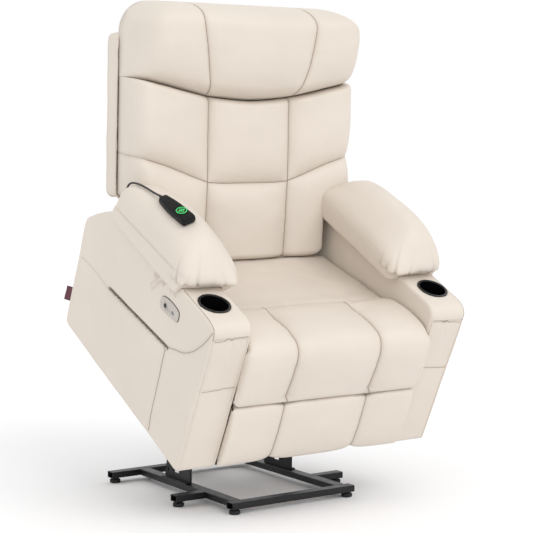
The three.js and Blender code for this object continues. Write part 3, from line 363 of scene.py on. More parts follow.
def coated(name, colour, metallic, roughness, scale=60, bump=0.08, spread_by=0.12, specular=0.5, glow=0):
    """Painted, plated or moulded surface with fine unevenness in colour and gloss."""
    made = Finish(name)
    place = made.place()
    cloud = made.cloud(place, scale, 4.0)
    made.use(made.tint(cloud, [c * 0.8 for c in colour], [min(1, c * 1.2) for c in colour]),
             made.bump(made.cloud(place, scale * 16, 2.0), bump, 0.0004))
    made.gloss(cloud, max(0.03, roughness - spread_by), min(1, roughness + spread_by))
    made.set(Metallic=metallic, Specular_IOR_Level=specular)
    if glow:
        made.set(Emission_Color=(*colour, 1), Emission_Strength=glow)
    return made.mat


def wood(name):
    made = Finish(name)
    stretch = made.node("Mapping", Scale=(4, 40, 90))
    made.links.new(made.place(), stretch.inputs["Vector"])
    rings = made.cloud(stretch.outputs["Vector"], 2.0, 6.0, Distortion=0.6)
    made.use(made.tint(rings, (0.30, 0.17, 0.08), (0.58, 0.40, 0.23)), made.bump(rings, 0.2, 0.001))
    made.set(Roughness=0.65)
    return made.mat


# the last colour is the painted shade in the leather's creases
LEATHER = leather("cream leather", (0.684, 0.616, 0.543), (0.30, 0.23, 0.17))
# dark beads along the seams: painted shadow in their grooves
SEAM_SHADOW = leather("seam shadow", (0.27, 0.21, 0.16), (0.2, 0.15, 0.1))
THREAD = coated("cream thread", (0.55, 0.47, 0.38), 0, 0.7, scale=400, bump=0.4)
STEEL = coated("black powder coat", (0.012, 0.012, 0.014), 0.35, 0.42, scale=45, bump=0.25)
ZINC = coated("plated steel", (0.55, 0.56, 0.58), 0.95, 0.3, scale=80)
PLASTIC = coated("black moulding", (0.01, 0.01, 0.011), 0, 0.45, scale=90, bump=0.3)
HANDSET = coated("hand control shell", (0.005, 0.005, 0.0055), 0, 0.46, scale=120, bump=0.2, specular=0.18)
GLOSS = coated("gloss black", (0.003, 0.003, 0.0035), 0, 0.16, 30, 0.02, spread_by=0.05, specular=0.35)
GREY = coated("light grey moulding", (0.50, 0.455, 0.41), 0, 0.42, scale=150, bump=0.15)
RUBBER = coated("black rubber", (0.02, 0.02, 0.021), 0, 0.8, scale=60, bump=0.4, specular=0.3)
CABLE = coated("cable jacket", (0.01, 0.01, 0.011), 0, 0.5, scale=200, bump=0.1)
GREEN = coated("lit green ring", (0.02, 0.48, 0.10), 0, 0.35, glow=0.9)
TAB = coated("maroon ribbon", (0.10, 0.022, 0.035), 0, 0.8, scale=500, bump=0.5)
PLYWOOD = wood("plywood")

# ---------- cable of the hand control

CABLE_POINTS = [
    (-416.3, 451.2, 632.3), (-417.3, 462, 632), (-418.6, 480, 628.4), (-419.6, 500, 624.2),
    (-420.4, 520, 620.6), (-421, 540, 616.6), (-421, 560, 611.8), (-421, 580, 605.9), (-421, 600, 598.4),
    (-421, 612, 592.9), (-421, 622, 586.8), (-421, 630.5, 579.2), (-421, 636.4, 568.5), (-421, 638.6, 556),
    (-421, 639.2, 540), (-420.6, 639.6, 520), (-420.2, 640, 500), (-420, 640.4, 480.4)]
cable_line = chair(curve_through(CABLE_POINTS, 4))
cable = tube("hand_control_cable", cable_line, 0.003, CABLE, "chair", "cable_black", sides=5)
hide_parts("handset_cable")

# ---------- pillows of the back and headrest

FULLNESS = 2.5  # how square the rolled edges are
REAR_V = 42  # depth of the pillows' rear borders
BACK_HALF = 376  # half-width of the back pillows' grid
BACK_SEAM_X = 146
HEAD_HALF = 376.5
HEAD_SEAM_X = 185  # in the headrest's grid, before its seams lean
SEAM_RADIUS = 0.0011


def rim(edge, count, start=0):
    """Distances in from a rolled edge, and the share of full depth there, which may start above 0."""
    phi = np.linspace(0, pi / 2, count + 1)
    distance, depth = edge * (1 - np.cos(phi) ** (2 / FULLNESS)), np.sin(phi) ** (2 / FULLNESS)
    if start:
        distance, depth = np.append(0, distance), np.append(0, start + (1 - start) * depth)
    return distance, depth


def axis_with_rims(lo, hi, seams, edge_lo, edge_hi, count=13, fine=1.5, coarse=8, start_lo=0, start_hi=0):
    """Stations from lo to hi with rolled ends, and the share of full depth at each."""
    t_lo, h_lo = rim(edge_lo, count, start_lo)
    t_hi, h_hi = rim(edge_hi, count, start_hi)
    points = [(lo + edge_lo, False)] + [(s, True) for s in seams] + [(hi - edge_hi, False)]
    inner = stations(points, fine, coarse)
    places = np.concatenate([lo + t_lo, inner[1:-1], (hi - t_hi)[::-1]])
    depth = np.concatenate([h_lo, np.ones(len(inner) - 2), h_hi[::-1]])
    return places, depth


def round_corner(x, u, half, top, radius):
    """Points of a rectangle moved so that its upper corners are round, grid lines and all."""
    ax = np.abs(x)
    a = np.clip((ax - (half - radius)) / radius, 0, 1)
    b = np.clip((u - (top - radius)) / radius, 0, 1)
    both = (a > 0) & (b > 0)
    nx = np.where(both, (half - radius) + radius * a * np.sqrt(1 - b * b / 2), ax)
    nu = np.where(both, (top - radius) + radius * b * np.sqrt(1 - a * a / 2), u)
    return np.sign(x) * nx, nu


def build_pillow(name, x, u, v, replaced, fill, crease_shade, seams):
    """Grid of points in back coordinates closed at the rear, with seams along some of its lines."""
    rows, cols = x.shape
    grid = back(np.stack([x, v, u], -1))
    faces = grid_faces(rows, cols) + [tuple(reversed(grid_border(rows, cols)))]
    obj = finish_mesh(name, grid.reshape(-1, 3), faces, LEATHER)
    # painted shade in the creases, kept on the points
    paint_crease_shade(obj, crease_shade.reshape(-1))
    dress(obj, "back", "leather_cream", replaced, fill=fill)
    for k, where in enumerate(seams):
        # dark bead of painted shadow in each seam's groove
        tube(f"{name}_seam_{k + 1}", grid[where], SEAM_RADIUS, SEAM_SHADOW, "back")


def wrinkles(along, distance, seed, size=1.0, reach=26):
    """Short puckers that run away from a seam and die out."""
    ridge = noise(along / 9.0, seed) + 0.6 * noise(along / 4.3, seed + 9.5)
    patch = smooth(noise(along / 47.0, seed + 31.5), -0.35, 0.6)
    return 1.5 * size * ridge * patch * fade(distance, reach)


def bulge(x, size, full):
    """Outward swell of a pillow's sides, where it has its full depth."""
    return np.sign(x) * size * smooth(np.abs(x), 270, BACK_HALF) * smooth(full, 0, 0.7)


def smile(x):
    """Height of the seam under the headrest."""
    return 458 + 76 * (np.abs(x) / 410) ** 1.75


def v_seam(x):
    """Height of the seam between the back's two rows of pillows."""
    ax = np.abs(x)
    return 207 + np.where(ax > 140, (ax - 140) * 0.372, 0) + 3 * bell(ax - 140, 30)


def back_half(u):
    """Half-width of the back pillows: narrow between the arms, with wings above them."""
    return 298 + 77.5 * smooth(u, 143, 163)


def back_cushion():
    """Two rows of three pillows, as one skin."""
    bottom, middle, top = -42, 207, 458
    xs, dx = axis_with_rims(-BACK_HALF, BACK_HALF, [-BACK_SEAM_X, BACK_SEAM_X], 46, 46)
    us, du = axis_with_rims(bottom, top, [middle], 30, 20, coarse=5.5, start_hi=0.74)
    x0, u0 = np.meshgrid(xs, us)
    hx, hu = np.meshgrid(dx, du)
    low = u0 < middle
    share = np.where(low, (u0 - bottom) / (middle - bottom), (u0 - middle) / (top - middle))
    outer = np.abs(x0) > BACK_SEAM_X
    run = (np.abs(x0) - BACK_SEAM_X) / (BACK_HALF - BACK_SEAM_X)
    half = np.full_like(x0, 375.5)
    for _ in range(30):  # width and height hang on each other
        x = np.where(outer, np.sign(x0) * (BACK_SEAM_X + run * (half - BACK_SEAM_X)), x0)
        u = np.where(low, bottom + share * (v_seam(x) - bottom),
                     v_seam(x) + share * (smile(x) - 0.4 - v_seam(x)))
        half = 0.5 * (half + back_half(u))
    to_side_seam = np.abs(np.abs(x) - BACK_SEAM_X)
    to_mid = np.abs(u - v_seam(x)) * np.where(np.abs(x) > 140, 0.94, 1)
    base = np.where(low, 92 + 15 * share, 107 - 4 * share)
    crown = 30 * puff(to_side_seam, 30) * puff(to_mid, 32)
    soft = 1.8 * noise(x / 95, u / 80) + 0.7 * noise(x / 33 + 7, u / 29)
    folds = (wrinkles(x, to_mid, 3, 1.1) + wrinkles(u, to_side_seam, 17, 0.9)
             + wrinkles(x, smile(x) - u, 41, 1.5 + 1.4 * smooth(-x, 250, 340), 30))
    v = REAR_V - (REAR_V + (base + crown + soft + folds)) * hx * hu
    # the lower corners are drawn up behind the arms
    u = u + np.where(low, 34 * np.clip((np.abs(x) - 232) / 66, 0, 1) ** 3 * (1 - share) ** 2, 0)
    x = x + bulge(x, 24, hx * hu) * smooth(u, 140, 200)
    # painted shade along the seams
    crease_shade = np.maximum(fade(to_side_seam, 3.0), fade(to_mid, 3.0)) * 0.5
    seams = [(nearest(us, middle), slice(12, len(xs) - 12))]
    seams += [(slice(8, len(us) - 9), nearest(xs, s)) for s in (-BACK_SEAM_X, BACK_SEAM_X)]
    build_pillow("back_pillows", x, u, v, "back_cushion", 0.75, crease_shade, seams)


def headrest():
    """Headrest in three parts, over the smile-shaped seam."""
    bottom, top, radius = 458, 752, 96
    xs, dx = axis_with_rims(-HEAD_HALF, HEAD_HALF, [-HEAD_SEAM_X, HEAD_SEAM_X], 64, 64)
    us, du = axis_with_rims(bottom, top, [], 44, 84, count=15, coarse=7, start_lo=0.64)
    x0, u0 = np.meshgrid(xs, us)
    hx, hu = np.meshgrid(dx, du)
    share = np.clip((u0 - bottom) / (top - bottom), 0, 1)
    seam_x = 149 + 63 * share ** 0.62 - 13 * smooth(share, 0.72, 1)
    beyond = (np.abs(x0) - HEAD_SEAM_X) / (HEAD_HALF - HEAD_SEAM_X)
    x = np.where(np.abs(x0) <= HEAD_SEAM_X, x0 / HEAD_SEAM_X * seam_x,
                 np.sign(x0) * (seam_x + beyond * (HEAD_HALF - seam_x)))
    u = smile(x) + 0.1 + share * (top - smile(x) - 0.1)
    x, u = round_corner(x, u, HEAD_HALF, top, radius)
    to_seam = np.abs(x) - seam_x
    above = u - smile(x)
    base = 128 + 38 * puff(above, 62) + 7 * np.sin(share * pi)
    crown = 21 * puff(to_seam, 26) * puff(above, 40)
    soft = 1.6 * noise(x / 90 + 3, u / 80) + 0.6 * noise(x / 31, u / 27 + 5)
    folds = (wrinkles(x, above, 61, 1.6 + 1.6 * smooth(-x, 250, 340), 26)
             + wrinkles(u, to_seam, 71, 0.9, 30))
    corner = np.exp(-(((np.abs(x) - 330) / 62) ** 2 + ((u - 700) / 62) ** 2))
    rays = noise(np.arctan2(u - 620, np.abs(x) - 250) * 8, np.where(x < 0, 5.5, 9.5))
    folds = folds + 3.2 * corner * rays
    v = REAR_V - (REAR_V + base + crown + soft + folds) * hx * hu
    x = x + bulge(x, 20, hx * hu) * (1 - smooth(share, 0.7, 1))
    seams = [(slice(7, len(us) - 6), nearest(xs, s)) for s in (-HEAD_SEAM_X, HEAD_SEAM_X)]
    # the value after 0.8 is painted shade along the seams
    build_pillow("headrest_pillow", x, u, v, "headrest_cushion", 0.8, fade(to_seam, 3.0) * 0.5, seams)


back_cushion()
headrest()

# ---------- seat and footrest

CHANNEL_X = 145  # seams that run over the seat and down the footrest
ON_TOP = 330  # height above which a point belongs to the seat's upper side


def swept_cushion(label, line, half, edge, shape, body, replaced, fill, seam, radius):
    """Closed (y, z) line swept across x with rolled ends; shape gives the rise above it, and seam
    the stretch of the line that has a seam in each channel."""
    places, depth = axis_with_rims(-half, half, [-CHANNEL_X, CHANNEL_X], edge, edge, count=9, fine=1.6)
    length = np.concatenate([[0], np.cumsum(np.linalg.norm(np.diff(line, axis=0), axis=1))])
    _, outward = offset_inward(line, 0)
    rows, crease_shades = [], []
    for x, h in zip(places, depth):
        # shape also gives painted shade in the creases
        rise, crease_shade = shape(np.full(len(line), x), line[:, 0], line[:, 1], length)
        inward = edge * (1 - h)
        lap = 1 + 0.028 * smooth(-line[:, 0], -2, 14) * smooth(abs(x), 240, 300)  # over the arms' fronts
        rows.append(np.column_stack([x * lap, line + outward * (rise - inward)[:, None]]))
        crease_shades.append(crease_shade)
    grid = chair(rows)
    obj = loft(f"{label}_pillow", grid, LEATHER)
    paint_crease_shade(obj, np.array(crease_shades).reshape(-1))
    dress(obj, body, "leather_cream", replaced, fill=fill)
    for k, x in enumerate((-CHANNEL_X, CHANNEL_X)):
        # dark bead of painted shadow in each channel seam's groove
        tube(f"{label}_seam_{k + 1}", grid[nearest(places, x), seam], radius, SEAM_SHADOW, body)


def seat_shape(x, y, z, s):
    """Rise and creases of the seat, and painted shade along its channel seams: the channels, and the tuck
    where the back meets it.
    """
    beside = np.abs(x) - CHANNEL_X
    to_seam = np.abs(beside)
    tuck_y = 232 - 16 * np.cos(np.clip(beside, -CHANNEL_X, CHANNEL_X) / CHANNEL_X * pi / 2)
    ahead = smooth(tuck_y - y, -6, 62) * (z > 230)
    groove = -20 * fade(to_seam, 25) * ahead
    tuck = -4.5 * bell(y - tuck_y, 15) * (z > ON_TOP)
    gathers = noise(beside / 6.5, np.sign(x) * 4.5) * bell(beside, 26)
    pleats = 2.6 * gathers * fade(y - tuck_y + 14, 20) * (z > ON_TOP)
    hem = -2.5 * np.exp(-(z - 220) / 9) * (y < 30)
    soft = (1.6 * noise(x / 88, s / 92) + 0.8 * noise(x / 37 + 9, s / 31)) * ((z > 224) & (y < 560))
    sag = -5.0 * bell(y - 390, 120) * (1 - (x / 300) ** 2) * (z > ON_TOP)
    folds = wrinkles(s, to_seam, 83, 1.2, 24) * ahead + wrinkles(x, y - tuck_y, 91, 0.9, 22) * (z > ON_TOP)
    folds = folds + wrinkles(x, z - 222, 97, 1.1, 26) * (y < 20) * np.clip((z - 222) / 26, 0, 1)
    # the second value is painted shade along the channel seams
    return groove + tuck + pleats + hem + soft + sag + folds, fade(to_seam, 3.0) * 0.55 * ahead


def footrest_shape(x, y, z, s):
    """Rise and creases of the footrest, and painted shade along its seams, all on its face."""
    to_seam = np.abs(np.abs(x) - CHANNEL_X)
    face = y < 12
    groove = -12 * fade(to_seam, 22) * face
    soft = (1.1 * noise(x / 80 + 4, z / 60) + 0.5 * noise(x / 28, z / 26)) * face
    folds = (wrinkles(z, to_seam, 103, 0.9, 20) + wrinkles(x, 216 - z, 109, 1.2, 24)) * face
    # the second value is painted shade along the channel seams
    return groove + soft + folds, fade(to_seam, 3.0) * 0.55 * face


SEAT_TOP = curve_through([
    (567, 284), (568, 324), (562, 340), (546, 346), (510, 349), (430, 360), (335, 374), (280, 381),
    (236, 392), (176, 414), (120, 424), (64, 427), (18, 420), (-12, 398), (-25, 362), (-27, 318),
    (-25, 270), (-22, 238), (-18, 226), (-8, 220.6), (38, 220.4)], 5)
SEAT_UNDER = [(38, 268), (200, 268), (380, 268), (556, 268)]
tucked = next(i for i, (y, _) in enumerate(SEAT_TOP) if y < 218)
swept_cushion("seat", np.vstack([SEAT_TOP, SEAT_UNDER]), 312, 20, seat_shape, "chair", "seat_cushion", 0.8,
              slice(tucked, len(SEAT_TOP) - 2), SEAM_RADIUS)

FOOT_FRONT = curve_through([
    (20, 218.6), (-6, 218.6), (-15, 216), (-20, 208), (-24, 184), (-28, 134), (-29, 90), (-27, 52),
    (-22, 28), (-12, 16), (4, 13), (20, 15)], 4.5)
FOOT_REAR = [(20, 60), (20, 115), (20, 170)]
swept_cushion("footrest", np.vstack([FOOT_FRONT, FOOT_REAR]), 309.5, 12, footrest_shape, "footrest",
              "footrest_pad", 0.7, slice(1, len(FOOT_FRONT) - 1), 0.001)

# ---------- soft copies of CAD shapes


def soft_copy(name, node_names, voxel, rounds, body, fill=None):
    """CAD solids as one evenly remeshed skin, with its edges relaxed."""
    bm = bmesh.new()
    for node_name in node_names:
        piece = NODES[node_name]
        part = piece.data.copy()
        part.transform(piece.matrix_world)
        bm.from_mesh(part)
        bpy.data.meshes.remove(part)
    merged = bpy.data.meshes.new(name)
    bm.to_mesh(merged)
    bm.free()
    obj = add_object(name, merged)
    remesh = obj.modifiers.new("remesh", "REMESH")
    remesh.mode = "VOXEL"
    remesh.voxel_size = voxel
    relax = obj.modifiers.new("relax", "SMOOTH")
    relax.factor = 0.5
    relax.iterations = rounds
    apply_modifiers(obj)
    mesh = obj.data
    mesh.materials.clear()
    mesh.materials.append(LEATHER)
    mesh.shade_smooth()
    return dress(obj, body, "leather_cream", *node_names, fill=fill)


def apply_modifiers(obj):
    graph = bpy.context.evaluated_depsgraph_get()
    mesh = bpy.data.meshes.new_from_object(obj.evaluated_get(graph))
    obj.modifiers.clear()
    obj.data = mesh


def folded(p):
    """x without its sign, y and z of points."""
    return np.abs(p[:, 0]), p[:, 1], p[:, 2]


def points_of(mesh):
    co = np.empty(len(mesh.vertices) * 3)
    mesh.vertices.foreach_get("co", co)
    return co.reshape(-1, 3)


def set_points(mesh, co):
    mesh.vertices.foreach_set("co", co.reshape(-1))
    mesh.update()


def relax_where(obj, weight, rounds):
    """Evens the skin out further where weight, of points in chair coordinates, is above 0."""
    mesh = obj.data
    co = points_of(mesh)
    ends = np.empty(len(mesh.edges) * 2, int)
    mesh.edges.foreach_get("vertices", ends)
    a, b = ends.reshape(-1, 2).T
    count = len(co)
    degree = np.bincount(a, minlength=count) + np.bincount(b, minlength=count)
    share = 0.5 * weight(unchair(co))[:, None]
    for _ in range(rounds):
        total = np.stack([np.bincount(a, co[b, k], count) + np.bincount(b, co[a, k], count)
                          for k in range(3)], -1)
        co = co + share * (total / degree[:, None] - co)
    set_points(mesh, co)


def warp(obj, move):
    """Moves points by a function from chair coordinates to chair coordinates."""
    set_points(obj.data, chair(move(unchair(points_of(obj.data)))))


def reshape(obj, rise):
    """Moves each point along its normal by rise(points, normals) in mm, in chair coordinates."""
    mesh = obj.data
    co = points_of(mesh)
    normals = np.array([v.normal[:] for v in mesh.vertices])
    turned = np.stack([normals[:, 0], normals[:, 1] * COS_T + normals[:, 2] * SIN_T,
                       normals[:, 2] * COS_T - normals[:, 1] * SIN_T], -1)
    amount, crease_shade = rise(unchair(co), turned)
    set_points(mesh, co + normals * (amount / 1000)[:, None])
    # rise's second value is painted shade in the creases, kept on the points
    paint_crease_shade(obj, crease_shade)


def near_line(py, pz, line):
    """Distance of points to a broken line, and how far along it the nearest place is."""
    best = np.full(len(py), 1e9)
    along = np.zeros(len(py))
    walked = 0.0
    for (ay, az), (by, bz) in zip(line, line[1:]):
        length = hypot(by - ay, bz - az)
        t = np.clip(((py - ay) * (by - ay) + (pz - az) * (bz - az)) / length ** 2, 0, 1)
        d = np.hypot(py - ay - t * (by - ay), pz - az - t * (bz - az))
        along = np.where(d < best, walked + t * length, along)
        best = np.minimum(best, d)
        walked += length
    return best, along


# ---------- arms

# lines on an arm's outer side, as (y, z)
REAR_SEAM = [(778, 244), (720, 252), (660, 253.5), (590, 250)]
POCKET_TOP = [(583, 249), (497, 253), (398, 260.7), (304, 273), (219.7, 284.8)]
POCKET_FRONT = [(212, 284), (207, 175), (196, 60), (190, 12)]
FRONT_SEAM = [(216, 286), (170, 306), (122, 326.5), (84, 356), (53, 392), (30, 428), (14, 462)]
# shade is the strength of the painted shade along each line
ARM_SEAMS = [(REAR_SEAM, 0.1), (POCKET_FRONT, 0.3), (FRONT_SEAM, 0.3), (POCKET_TOP, 0.1)]  # line, shade
POCKET = (200, 583)  # its front and rear ends
# slack below the pad: start, end, rise and width
FOLDS = [((296, 474), (326, 436), 11.0, 6), ((326, 436), (350, 402), 8.0, 7),
         ((280, 474), (304, 442), -7.0, 5), ((262, 476), (254, 447), 10.0, 5),
         ((243, 476), (230, 448), -6.0, 4), ((318, 476), (352, 440), -6.0, 5)]
TUCK_Z, LOW_SEAM_Z = 440, 277  # heights of the two seams across an arm's front
SIDE_X, PAD_SIDE_X = 441, 458  # outer sides of an arm and of its pad
WELT_RADIUS = 0.0023
SIDES = (("left", -1), ("right", 1))


def arm_rise(side, p, n):
    """Unevenness of an arm cover and painted shade in its creases: seams, slack folds, the pocket and the
    tucked front.
    """
    x, y, z = folded(p)
    outer = smooth(side * n[:, 0], 0.6, 0.9) * (x > 430)
    front = smooth(-n[:, 1], 0.6, 0.9) * (y < 30)
    inner = smooth(-side * n[:, 0], 0.6, 0.9) * (x < 330)
    amount = np.zeros(len(p))
    # painted shade in the creases and along the seams, 0 to 1
    crease_shade = np.zeros(len(p))
    to_seam = np.full(len(p), 400.0)
    for k, (seam, shade) in enumerate(ARM_SEAMS):
        d, along = near_line(y, z, seam)
        to_seam = np.minimum(to_seam, d)
        amount += wrinkles(along, d, 120 + 7 * k + side, 0.5, 20) * outer
        # painted shade along each seam line
        crease_shade = np.maximum(crease_shade, fade(d, 4) * shade * outer)
    amount += outer * (2.6 * puff(to_seam, 26) - 1.3)
    amount += outer * (1.2 * noise(y / 110 + side, z / 90) + 0.5 * noise(y / 38, z / 33 + side))
    fold_size, fold_shade = (1, 0.2) if side < 0 else (0.4, 0.08)
    for start, end, size, width in FOLDS:
        d, _ = near_line(y, z, [start, end])
        amount += size * fold_size * bell(d, width) * outer
        # painted shade beside each fold
        crease_shade = np.maximum(crease_shade, fold_shade * bell(d - 1.25 * width, 3) * outer)
    if side < 0:
        # the pocket's flap stands up to the mouth, leaving a narrow opening
        pocket_front, pocket_rear = POCKET
        lip = smooth(n[:, 2], 0.55, 0.85) * (x > 430) * (y > 203) * (y < 580) * (z < 288) * (z > 240)
        amount += 8.0 * lip
        flap = (y > pocket_front) * (y < pocket_rear) * (z > 56) * (z < 249 + (pocket_rear - y) * 0.0914)
        to_end = np.minimum(y - pocket_front, pocket_rear - y)
        amount += outer * flap * 2.0 * smooth(z, 120, 230) * puff(to_end, 60)
    pleats = noise(x / 7.5, 3.5 + side) + 0.5 * noise(x / 3.7, 8.5)
    below = np.clip(TUCK_Z - z, 0, None)
    amount += front * (-2.2 * fade(z - TUCK_Z, 5) - fade(z - LOW_SEAM_Z, 5)
                       + 2.4 * (z > TUCK_Z) * puff(z - (TUCK_Z - 2), 14)
                       + 3.0 * pleats * fade(below, 40) * (z < TUCK_Z) * puff(below, 4))
    amount += front * 0.9 * noise(x / 40, z / 70)
    amount += inner * (0.8 * noise(y / 90, z / 80 + 5))
    # painted shade along the tuck and the low seam across the front
    crease_shade = np.maximum(crease_shade, front * (0.4 * fade(z - TUCK_Z, 3) + 0.2 * fade(z - LOW_SEAM_Z, 3)))
    return amount, crease_shade


def fold_area(p):
    """The slack folds' place on an arm's outer side."""
    x, y, z = folded(p)
    return smooth(y, 215, 235) * (1 - smooth(y, 350, 370)) * smooth(z, 420, 432) * (z < 476) * (x > 436)


def build_arm(label, side):
    """Arm cover, with the side pocket on the left, and its seams and welts."""
    solids = [f"arm_{label}"] + (["side_pocket_panel"] if side < 0 else [])
    arm = soft_copy(f"arm_cover_{label}", solids, 0.0038, 3, "chair")
    reshape(arm, partial(arm_rise, side))
    relax_where(arm, fold_area, 4)
    tree = tree_of(arm)

    # by default a dark bead of painted shadow in the seam's groove
    def stitch(name, path, radius, material=SEAM_SHADOW, lift=0.0001):
        tube(f"{name}_{label}", onto(tree, chair(path), lift), radius, material, "chair")

    def on_side(line):
        return [(side * SIDE_X, y, z) for y, z in curve_through(line, 6)]

    stitch("arm_rear_seam", on_side(REAR_SEAM), 0.0006, THREAD, 0)
    stitch("arm_pocket_seam", on_side(POCKET_FRONT), 0.0008)
    stitch("arm_front_seam", on_side(FRONT_SEAM), 0.0007)
    stitch("arm_panel_seam", on_side(POCKET_TOP if side > 0 else [POCKET_TOP[0], REAR_SEAM[-1]]), 0.0008)
    for name, x in (("arm_welt_outer", 434), ("arm_welt_inner", 320)):
        stitch(name, [(side * x, -2, z) for z in np.linspace(8, 438, 90)], WELT_RADIUS, LEATHER, 0.0006)
    stitch("arm_top_seam", curve_through([(side * x, y, z) for x, y, z in (
        (437, 200, 483), (437, 120, 483), (438, 40, 481), (438, 12, 466), (438, 2, 440))], 6), 0.0008)
    for name, z in (("arm_front_tuck", TUCK_Z), ("arm_front_low_seam", LOW_SEAM_Z)):
        stitch(name, [(side * x, -2, z + 0.06 * (377 - x)) for x in np.linspace(322, 432, 50)], 0.0007, lift=0)


# ---------- arm pads

# gathers at the pad's front: direction in radians, depth and height
GATHERS = [(-1.15, 5, 36), (-0.92, 4, 26), (-0.66, 6, 58), (-0.3, 4.5, 34), (0.05, 3.5, 26), (0.42, 6, 62),
           (0.7, 4, 30), (0.98, 6.5, 66)]


def stitch_height(y):
    return 511 + (553 - y) * 0.04


def round_nose(p):
    """The pad's front end drawn back, most at its inner edge and high up."""
    x, y, z = folded(p)
    back_by = 14 + 40 * smooth(z, 520, 610) + 14 * (1 - smooth(x, 262, 300)) + 10 * smooth(x, 400, 455)
    y = y + back_by * (1 - smooth(y, 140, 360))
    slope = 1 - 0.31 * (1 - smooth(x, 270, 376))
    slope = slope * (1 - 0.44 * (1 - smooth(y, 150, 370)) ** 2)
    return np.stack([p[:, 0], y, np.where(z > 484, 484 + (z - 484) * slope, z)], -1)


def pad_rise(side, p, n):
    """Unevenness of an arm pad and painted shade in its creases: its stitched line, and gathers that fan up at
    the front.
    """
    x, y, z = folded(p)
    outer = smooth(side * n[:, 0], 0.35, 0.75)
    above = z - stitch_height(y)
    amount = -1.1 * fade(above, 5.0) * outer * (y > 205)
    amount += 1.4 * noise(x / 60 + side, y / 75) + 0.6 * noise(x / 26, y / 31 + side)
    amount += 2.0 * smooth(z, 500, 540)
    # painted shade along the stitched line
    crease_shade = fade(above, 3.0) * outer * 0.12
    front = smooth(290 - y, 0, 60)
    turn = np.arctan2(x - 360, 290 - y)
    for k, (at, size, high) in enumerate(GATHERS):
        lean = at + 0.0012 * (z - 500) * (1 if k % 2 else -1)
        off = (turn - lean) * 105
        here = fade(np.clip(z - 500, 0, None), 0.55 * high) * front * smooth(z, 488, 500)
        amount += here * size * (0.5 * bell(off - 9, 7) - 1.1 * bell(off, 3.2))
        # painted shade in each gather's fold
        crease_shade = np.maximum(crease_shade, 0.4 * here * bell(off, 3.2))
    under = bell(z - 497, 4) * front
    amount -= 2.2 * under
    # painted shade in the groove low on the pad's front
    crease_shade = np.maximum(crease_shade, 0.2 * under)
    amount += wrinkles(y, above, 150 + side, 0.8, 18) * outer
    return amount, crease_shade


def build_pad(label, side):
    """Arm pad with its double row of stitches."""
    pad = soft_copy(f"arm_pillow_{label}", [f"arm_pad_{label}"], 0.0046, 6, "chair", 0.85)
    relax_where(pad, lambda p: smooth(p[:, 2], 500, 545), 90)
    warp(pad, round_nose)
    relax_where(pad, lambda p: smooth(p[:, 2], 496, 530), 50)
    reshape(pad, partial(pad_rise, side))
    tree = tree_of(pad)
    x = side * PAD_SIDE_X
    for k, lift in enumerate((-1.5, 3)):
        row = chair([(x, y, stitch_height(y) + lift) for y in np.linspace(243, 612, 140)])
        tube(f"pad_stitch_{k + 1}_{label}", onto(tree, row, 0), 0.0004, THREAD, "chair")
    down = chair([(x, 241 + 0.12 * (z - 470), z) for z in np.linspace(484, 512, 30)])
    tube(f"pad_front_seam_{label}", onto(tree, down, 0), 0.0005, THREAD, "chair")


for label, side in SIDES:
    build_arm(label, side)
    build_pad(label, side)

# ---------- rear of the back


def lower_wings(p):
    """The wings' lower edges brought down behind the arm pads."""
    u = (p[:, 1] - PIVOT_Y) * SIN_B + (p[:, 2] - PIVOT_Z) * COS_B
    down = 9 * smooth(np.abs(p[:, 0]), 276, 292) * (1 - smooth(u, 170, 300))
    return p - np.outer(down, (0, SIN_B, COS_B))


def shell_rise(p, n):
    x, z = p[:, 0], p[:, 2]
    return 1.1 * noise(x / 90, z / 85) + 0.4 * noise(x / 33, z / 30), np.zeros(len(p))


def back_outline(v):
    """Line around the back: in between the arms, out at the wings and over the rounded top."""
    half_low, half, low, high, radius, step = 277, 381, -40, 653, 24, 8
    points = [(-half_low, v, low), (-half_low, v, 141), (-half, v, 163), (-half, v, high - radius)]
    points += [(-half + radius - radius * cos(a), v, high - radius + radius * sin(a))
               for a in np.linspace(0.2, pi / 2, 8)]
    path = curve_through(points, step)
    mirrored = path[::-1] * np.array([-1, 1, 1])
    return np.vstack([path, curve_through([path[-1], mirrored[0]], step)[1:-1], mirrored])


def back_welts(shell):
    """Welts along the shell's front and rear edges, and the seams down its rear."""
    tree = tree_of(shell)
    for name, v, radius in (("back_welt_front", 37.5, 0.0036), ("back_welt_rear", 99, 0.0019)):
        tube(name, onto(tree, back(back_outline(v)), 0.0004), radius, LEATHER, "back")
    for label, side in SIDES:
        path = back([(side * 205, 104, u) for u in np.linspace(-52, 644, 130)])
        # dark bead of painted shadow in the seam's groove
        tube(f"back_rear_seam_{label}", onto(tree, path, 0.0001), 0.0009, SEAM_SHADOW, "back")


def back_apron():
    """Cover that closes the gap between seat and back, curved about the back's pivot."""
    half, outer_radius, inner_radius = 276, 84, 80.5
    arc = np.radians(np.linspace(-14, 50, 34))
    rings = []
    for x in np.linspace(-half, half, 70):
        outer = [(x, PIVOT_Y - (outer_radius + 0.7 * noise(x / 40, a * 6)) * cos(a),
                  PIVOT_Z - outer_radius * sin(a)) for a in arc]
        inner = [(x, PIVOT_Y - inner_radius * cos(a), PIVOT_Z - inner_radius * sin(a))
                 for a in arc[::-1]]
        rings.append(outer + inner)
    dress(loft("back_apron", chair(rings), LEATHER), "back", "leather_cream")


back_shell = soft_copy("back_shell", ["back_cover"], 0.0055, 3, "back")
warp(back_shell, lower_wings)
reshape(back_shell, shell_rise)
back_apron()
back_welts(back_shell)

# ---------- cup holders

